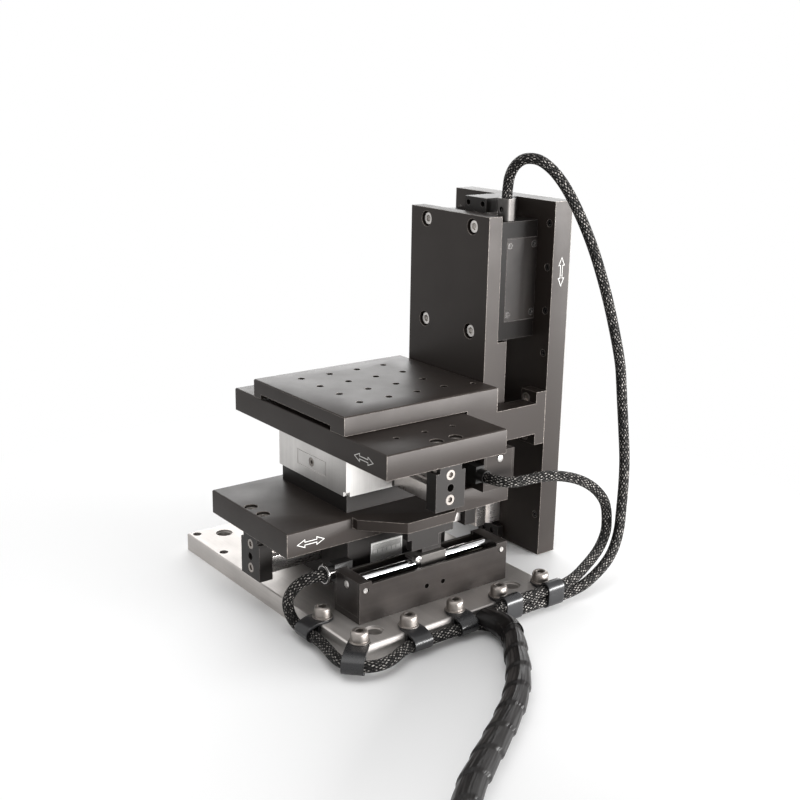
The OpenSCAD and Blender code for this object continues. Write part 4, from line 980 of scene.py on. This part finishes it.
        def radius(turn: float, s: float) -> float:
            """An ellipse that narrows from the mouth to the trunk."""
            share = min(1.0, s / taper)
            share = share * share * (3 - 2 * share)
            wide = self.boot_wide + (self.boot_r - self.boot_wide) * share
            tall = self.boot_tall + (self.boot_r - self.boot_tall) * share
            return wide * tall / math.hypot(tall * math.sin(turn), wide * math.cos(turn)) * MM

        bm = sleeve_mesh(route, radius, self.boot_sides, (0.1, -1, 0), self.trunk_way)
        return settle(finish_mesh(bm, "branch_boot", WRAP_PLASTIC, 50.0), Body.BASE, "trunk_wrap")


# Base


@dataclass
class Base:
    """The ground base plate with its clips and their screws."""

    length: float = 105.0
    width: float = 144.0
    thick: float = 8.5
    inset: float = 3.5
    clip_w: float = 9.0
    clip_t: float = 1.0
    bands: int = 6
    lead_d: float = 4.8
    low: float = 3.95
    high: float = 8.85
    single: float = 4.7

    def places(self) -> list[tuple[float, float, float, float, bool]]:
        """Each clip: its screw's X and Y, the way to its lead, its reach, and whether it holds two."""
        x, y, reach = self.length / 2 - self.inset, self.width / 2 - self.inset, self.inset + 4
        row = [(at, -y, 270.0, reach, at > 0) for at in (-x / 2, 0.0, x / 2, x)]
        return [(-x, -42.0, 180.0, reach, False), (-x, -y, 224.0, reach + 4.7, False), *row]

    def outline(self, reach: float, pair: bool) -> Profile:
        """A strap seen from its side, from the screw's tab over the edge and round the lead.

        Args:
            reach: Distance from the screw to the lead.
            pair: Whether it holds two leads, one above the other.

        Returns:
            Its middle line as X and Z in millimetres.
        """
        r = self.lead_d / 2 + 0.5 + self.clip_t / 2
        top = self.thick + self.clip_t / 2 + 0.1
        tab = [(-self.clip_w / 2, top), (0, top), (reach - 4.0, top)]
        if pair:
            low = self.low
            over = [(reach - 2.6, top + 0.9), (reach - 1.6, self.high + r * 0.86)]
            over += arc(reach, self.high, r, 0, 90, 6)
        else:
            low = self.single
            over = [(reach - 2.2, top - 0.05), *arc(reach, low, r, 15, 90, 5)]
        back = [(reach - r, min(low + 1.4, self.thick - 2.4)), (reach - r - 0.15, self.thick - 1.4)]
        return tab + over + arc(reach, low, r, 90, 270, 12) + back

    def strap(self, reach: float, pair: bool) -> Mesh:
        """One clip as a bent strap with a rounded tab, with the screw at x = y = 0."""
        half = self.clip_w / 2 * MM
        bm = bmesh.new()
        verts = [bm.verts.new(mm((x, -self.clip_w / 2, z))) for x, z in self.outline(reach, pair)]
        edges = [bm.edges.new(ends) for ends in zip(verts, verts[1:])]
        for _ in range(self.bands):
            grown = bmesh.ops.extrude_edge_only(bm, edges=edges)["geom"]
            moved = verts_in(grown)
            edges = [e for e in edges_in(grown) if all(v in moved for v in e.verts)]
            bmesh.ops.translate(bm, verts=moved, vec=(0, self.clip_w / self.bands * MM, 0))
        for vert in bm.verts:
            if vert.co.x < 0:
                tip = -half * math.sqrt(max(0.0, 1 - (abs(vert.co.y) / half) ** 2))
                vert.co.x = tip * 0.999 * min(1.0, -vert.co.x / half)
        outward(bm)
        bmesh.ops.solidify(bm, geom=bm.faces[:], thickness=self.clip_t * MM)
        heights = [v.co.z for v in bm.verts if v.co.x < 0]
        lift = (self.thick + self.clip_t / 2 + 0.1) * MM - sum(heights) / len(heights)
        bmesh.ops.translate(bm, verts=bm.verts, vec=(0, 0, lift))
        outward(bm)
        bevelled(bm, 60.0, 0.2, 2)
        return bm

    def build(self) -> None:
        """Makes the base's pieces."""
        dress(Body.BASE, "base_steel", BASE_STEEL, "base_plate", width=0.2)
        clips, screws = bmesh.new(), bmesh.new()
        for x, y, way, reach, pair in self.places():
            turn = Matrix.Rotation(math.radians(way), 4, "Z")
            join(clips, self.strap(reach, pair), Matrix.Translation(mm((x, y, 0))) @ turn)
            join(screws, CapScrew().mesh(), aimed((x, y, self.thick + self.clip_t + 0.2), UP))
        straps = finish_mesh(clips, "lead_clips", CLIP_PLASTIC, 40.0)
        settle(straps, Body.BASE, "clip_rubber", "cable_clips")
        heads = finish_mesh(screws, "clip_cap_screws", SCREW_STEEL, 35.0)
        settle(heads, Body.BASE, "screw_steel", "clip_screws")


# Slides


@dataclass
class Arrow:
    """A double arrow in white outline, printed on a flat side."""

    name: str
    centre: Point
    along: Point
    up: Point
    length: float = 13.8
    height: float = 3.9
    line: float = 0.29
    ink: float = 0.04

    def build(self, body: Body) -> None:
        """Makes the arrow and puts it on its body."""
        half, head, shaft = self.length / 2, self.height / 2, self.height * 0.2
        neck = half - self.height * 1.05
        right = [(neck, shaft), (neck, head), (half, 0), (neck, -head), (neck, -shaft)]
        outline = right + [(-x, -y) for x, y in right]
        bm = bmesh.new()
        face = bm.faces.new([bm.verts.new((x * MM, y * MM, 0)) for x, y in reversed(outline)])
        bm.normal_update()
        bmesh.ops.inset_region(bm, faces=[face], thickness=self.line * MM, use_even_offset=True,
                               use_boundary=True)
        bmesh.ops.delete(bm, geom=[face], context="FACES")
        grown = bmesh.ops.extrude_face_region(bm, geom=bm.faces[:])["geom"]
        bmesh.ops.translate(bm, verts=verts_in(grown), vec=(0, 0, self.ink * MM))
        outward(bm)
        x, y = Vector(self.along), Vector(self.up)
        bmesh.ops.transform(bm, matrix=standing(x, y, x.cross(y), mm(self.centre)), verts=bm.verts)
        settle(finish_mesh(bm, self.name, PRINT_WHITE), body, "scale_print")


@dataclass
class Slide:
    """One of the two crossed slides: guides on the lower body, rail and plate on the upper one."""

    axis: str
    fixed: Body
    moving: Body

    def build(self) -> None:
        """Makes the slide's pieces."""
        for body, slot, finish, names, width in (
            (self.fixed, "black_anodised", BODY_BLACK, ("foot_plate", "motor_guide"), 0.25),
            (self.fixed, "guide_aluminium", GUIDE_SILVER, ("outer_guide",), 0.25),
            (self.fixed, "channel_metal", CHANNEL_DARK, ("motor_channel", "channel_ends"), 0.15),
            (self.fixed, "screw_steel", SCREW_STEEL, ("guide_screws",), 0.15),
            (self.fixed, "rod_steel", ROD_POLISHED, ("drive_rod",), 0.2),
            (self.moving, "black_anodised", PLATE_BLACK, ("moving_plate",), 0.25),
            (self.moving, "black_anodised", BODY_BLACK, ("end_blocks", "drive_arm"), 0.25),
            (self.moving, "rail_steel", RAIL_STEEL, ("center_rail",), 0.15),
            (self.moving, "screw_steel", SCREW_STEEL, ("end_screws",), 0.15),
            (self.moving, "slider_metal", SLIDER_DARK, ("rod_slider",), 0.2),
        ):
            dress(body, slot, finish, *(f"{self.axis}_{name}" for name in names), width=width)
        repaint(CERAMIC, f"{self.axis}_piezo_stack")
        repaint(BRASS, f"{self.axis}_ball_cage")


class CrossedSlides:
    """Both slides, with the small pieces that only one of them has."""

    def build(self) -> None:
        """Makes both slides."""
        Slide("x", Body.BASE, Body.X).build()
        Slide("y", Body.X, Body.Y).build()
        dress(Body.BASE, "gland_steel", GLAND_BLACK, "x_cable_gland", width=0.2)
        # The Y gland stays all black, with no bright rim like the X gland's: painted shade, as it sits in
        # shadow.
        dress(Body.X, "gland_black", GLAND_BLACK, "y_cable_gland", width=0.2)
        self.gland_ring()
        self.scale_strip()
        self.rod_pins()
        Arrow("x_arrow", (-48.0, -31.78, 38.9), EAST, UP).build(Body.X)
        Arrow("y_arrow", (-30.78, -44.8, 75.4), SOUTH, UP).build(Body.Y)

    def gland_ring(self) -> None:
        """The bright rolled rim of the X gland and the small pin beside it."""
        bm = turned([(2.9, 0), (4.0, 0), *arc(3.75, 0.6, 0.6, 150, -30, 9), (2.9, 1.05), (2.9, 0)], 48)
        bmesh.ops.transform(bm, matrix=aimed((-43.35, -35.6, 24.7), WEST), verts=bm.verts)
        pin = [(0, 0), (0.9, 0), (0.9, 3.0), (0.7, 3.25), (0, 3.25)]
        join(bm, turned(pin, 20), aimed((-40.0, -38.2, 25.9), WEST))
        settle(finish_mesh(bm, "x_gland_ring", RING_STEEL, 35.0), Body.BASE, "gland_steel")

    def scale_strip(self) -> None:
        """The measuring strip on the X motor guide, with its fine tick marks."""
        settle(edged_copy("x_scale_strip", SCALE_PRINT, 0.05), Body.BASE, "scale_print", "x_scale_strip")
        ticks, step, left, face, top = 31, 0.5, -14.0, -28.66, 28.2
        bm = bmesh.new()
        for k in range(ticks):
            tall = 4.2 if k % 5 == 0 else 2.6
            tick = bmesh.ops.create_cube(bm, size=1.0)["verts"]
            bmesh.ops.scale(bm, verts=tick, vec=mm((0.18, 0.04, tall)))
            bmesh.ops.translate(bm, verts=tick, vec=mm((left + k * step, face, top - tall / 2)))
        settle(finish_mesh(bm, "x_scale_ticks", BODY_BLACK), Body.BASE, "black_anodised")

    def rod_pins(self) -> None:
        """The bright pins of the drive rods and the X slider, and the small screws in the channels' sides."""
        pin = [(0, -1.4), (1.6, -1.4), (1.65, 0.25), (1.45, 0.4), (0.5, 0.45), (0, 0.4)]
        cup = [(0, -0.6), (1.65, -0.6), (1.7, 0.2), (1.3, 0.45), (0.8, 0.45), (0.6, 0.1), (0, 0.1)]
        foot = [(0, -0.8), (0.8, -0.8), (0.8, 0)]
        small = [*foot, (1.15, 0), (1.15, 0.3), (0.95, 0.5), (0.35, 0.5), (0.3, 0.25), (0, 0.25)]
        of_x = [(pin, (-40, -46.6, 23.4), WEST), (pin, (40, -46.6, 23.4), EAST),
                (small, (-37.2, -55.6, 23.2), SOUTH), (small, (36.6, -55.6, 23.4), SOUTH)]
        of_y = [(pin, (48.0, -40, 59.3), SOUTH), (pin, (48.0, 40, 59.3), NORTH),
                (small, (56.6, -36, 59.3), EAST), (small, (56.6, 36, 59.3), EAST)]
        of_slider = [(cup, (-6, -50.6, 27.0), SOUTH)]
        for name, body, spots in (
            ("x_rod_pins", Body.BASE, of_x),
            ("y_rod_pins", Body.X, of_y),
            ("x_slider_pin", Body.X, of_slider),
        ):
            bm = bmesh.new()
            for profile, at, way in spots:
                join(bm, turned(profile, 28), aimed(at, way))
            settle(finish_mesh(bm, name, SCREW_BRIGHT, 35.0), body, "screw_steel")


# Upright slide


class UprightSlide:
    """The Z slide: bracket and motor body on the Y carriage, tall plate and fork table on the Z carriage."""

    def build(self) -> None:
        """Makes the pieces."""
        dress(Body.Y, "black_anodised", PLATE_BLACK, "z_bracket_foot", "z_upright_plate")
        dress(Body.Y, "black_anodised", MOTOR_BLACK, "z_motor_body", "z_guide_block")
        dress(Body.Y, "black_anodised", COVER_BLACK, "z_side_cover")
        dress(Body.Y, "screw_steel", SCREW_BRIGHT, "z_upright_screws", width=0.12)
        dress(Body.Y, "screw_steel", SCREW_BLACK, "z_cover_screws", width=0.12)
        dress(Body.Y, "gland_steel", CLAMP_STEEL, "z_cable_clamp")
        repaint(CERAMIC, "z_piezo_motor")
        repaint(BRASS, "z_ball_cage")
        dress(Body.Z, "black_anodised", PLATE_BLACK, "z_tall_plate", "fork_table")
        dress(Body.Z, "black_anodised", BODY_BLACK, "z_end_blocks")
        dress(Body.Z, "rail_steel", RAIL_STEEL, "z_center_rail", width=0.15)
        dress(Body.Z, "screw_steel", SCREW_BLACK, "z_plate_screws", width=0.12)
        dress(Body.Z, "screw_steel", SCREW_STEEL, "fork_screws", width=0.1)
        Arrow("z_arrow", (88.3, -31.93, 139.4), (0, 0, 1), (-1, 0, 0)).build(Body.Z)


# Studio


@dataclass
class Studio:
    """Pale floor, soft lamps, white background and the camera of the photograph."""

    spot: Point = (-291.9145, -412.0060, 229.8367)
    angles: Point = (73.99479, -0.945676, -36.961803)
    lens: float = 52.8142
    sensor: float = 36.0
    floor: Colour = (0.92, 0.92, 0.92)
    fill: float = 0.55
    shadow_reach: tuple[float, float] = (0.10, 0.27)

    def build(self) -> None:
        """Makes the studio."""
        self.camera()
        self.world()
        self.ground()
        self.lamp("front_softbox", (560, -900, 125), (0, 0, 90), 1300, 240, 36.0)
        self.lamp("back_softbox", (840, 1100, 430), (0, 0, 60), 1500, 760, 2.9)
        self.lamp("top_softbox", (-150, 60, 950), (0, 0, 60), 800, 800, 1.5)
        bpy.context.scene.view_settings.view_transform = "Standard"

    def camera(self) -> None:
        """Places the camera where the photograph was taken from."""
        data = bpy.data.cameras.new("camera")
        data.lens, data.sensor_width, data.sensor_fit = self.lens, self.sensor, "HORIZONTAL"
        data.clip_start, data.clip_end = 0.01, 30.0
        made = linked("camera", data)
        made.location = mm(self.spot)
        made.rotation_euler = Euler([math.radians(a) for a in self.angles], "XYZ")
        bpy.context.scene.camera = made

    @staticmethod
    def seen(g: Graph) -> Socket:
        """A mask of the rays that show the background: straight, mirrored or let through."""
        ray = g.node("LightPath")
        shown = g.maths("MAXIMUM", ray.outputs["Is Camera Ray"], ray.outputs["Is Glossy Ray"])
        return g.maths("MAXIMUM", shown, ray.outputs["Is Transmission Ray"])

    def world(self) -> None:
        """A plain pale world that the camera sees as white."""
        world = bpy.data.worlds.new("studio")
        bpy.context.scene.world = world
        world.use_nodes = True
        g = Graph(world.node_tree)
        g.tree.nodes.clear()
        strength = g.maths("MULTIPLY_ADD", self.seen(g), 1.0 - self.fill, self.fill)
        light = g.fill(g.node("Background"), (0, 1), (1.0, 1.0, 1.0, 1.0), strength)
        g.fill(g.node("OutputWorld"), (0,), light.outputs[0])

    def ground(self) -> None:
        """The wide pale floor, which keeps the object's shadow and turns white farther out."""
        bm = bmesh.new()
        bmesh.ops.create_grid(bm, x_segments=2, y_segments=2, size=6.0)
        mesh = bpy.data.meshes.new("floor")
        bm.to_mesh(mesh)
        bm.free()
        material = bpy.data.materials.new("floor_paper")
        material.use_nodes = True
        g = Graph(material.node_tree)
        tone = g.scaled(self.floor, g.ramp(g.noise(g.spot(), 35.0, 3.0), 0.2, 0.8, 0.995, 1.005))
        skin = g.fill(g.tree.nodes["Principled BSDF"], ("Base Color", "Roughness"), tone, 0.6)
        away = g.fill(g.node("VectorMath", operation="LENGTH"), (0,), g.spot())
        white = g.maths("MULTIPLY", self.seen(g), g.ramp(away.outputs["Value"], *self.shadow_reach))
        mix = g.fill(g.node("MixShader"), range(3), white, skin.outputs[0], g.node("Emission").outputs[0])
        g.fill(g.tree.nodes["Material Output"], (0,), mix.outputs[0])
        mesh.materials.append(material)
        floor = linked("floor", mesh)

    def lamp(self, name: str, at: Point, target: Point, wide: float, tall: float, strength: float) -> None:
        """Adds a soft area lamp.

        Args:
            name: Its name.
            at: Its place in millimetres.
            target: The point that it looks at.
            wide: Its width in millimetres.
            tall: Its height in millimetres.
            strength: Its radiance times pi, so that size doesn't change how bright its face is.
        """
        data = bpy.data.lights.new(name, "AREA")
        data.shape, data.size, data.size_y = "RECTANGLE", wide * MM, tall * MM
        data.energy = strength * data.size * data.size_y * math.pi
        made = linked(name, data)
        made.location = mm(at)
        made.rotation_euler = (mm(at) - mm(target)).to_track_quat("Z", "Y").to_euler()
        made.visible_camera = False


def main() -> None:
    logging.basicConfig(level=logging.INFO, format="%(message)s")
    Studio().build()
    wiring = Wiring()
    wiring.build_leads()
    wiring.build_trunk()
    Base().build()
    CrossedSlides().build()
    UprightSlide().build()


if __name__ == "__main__":
    main()
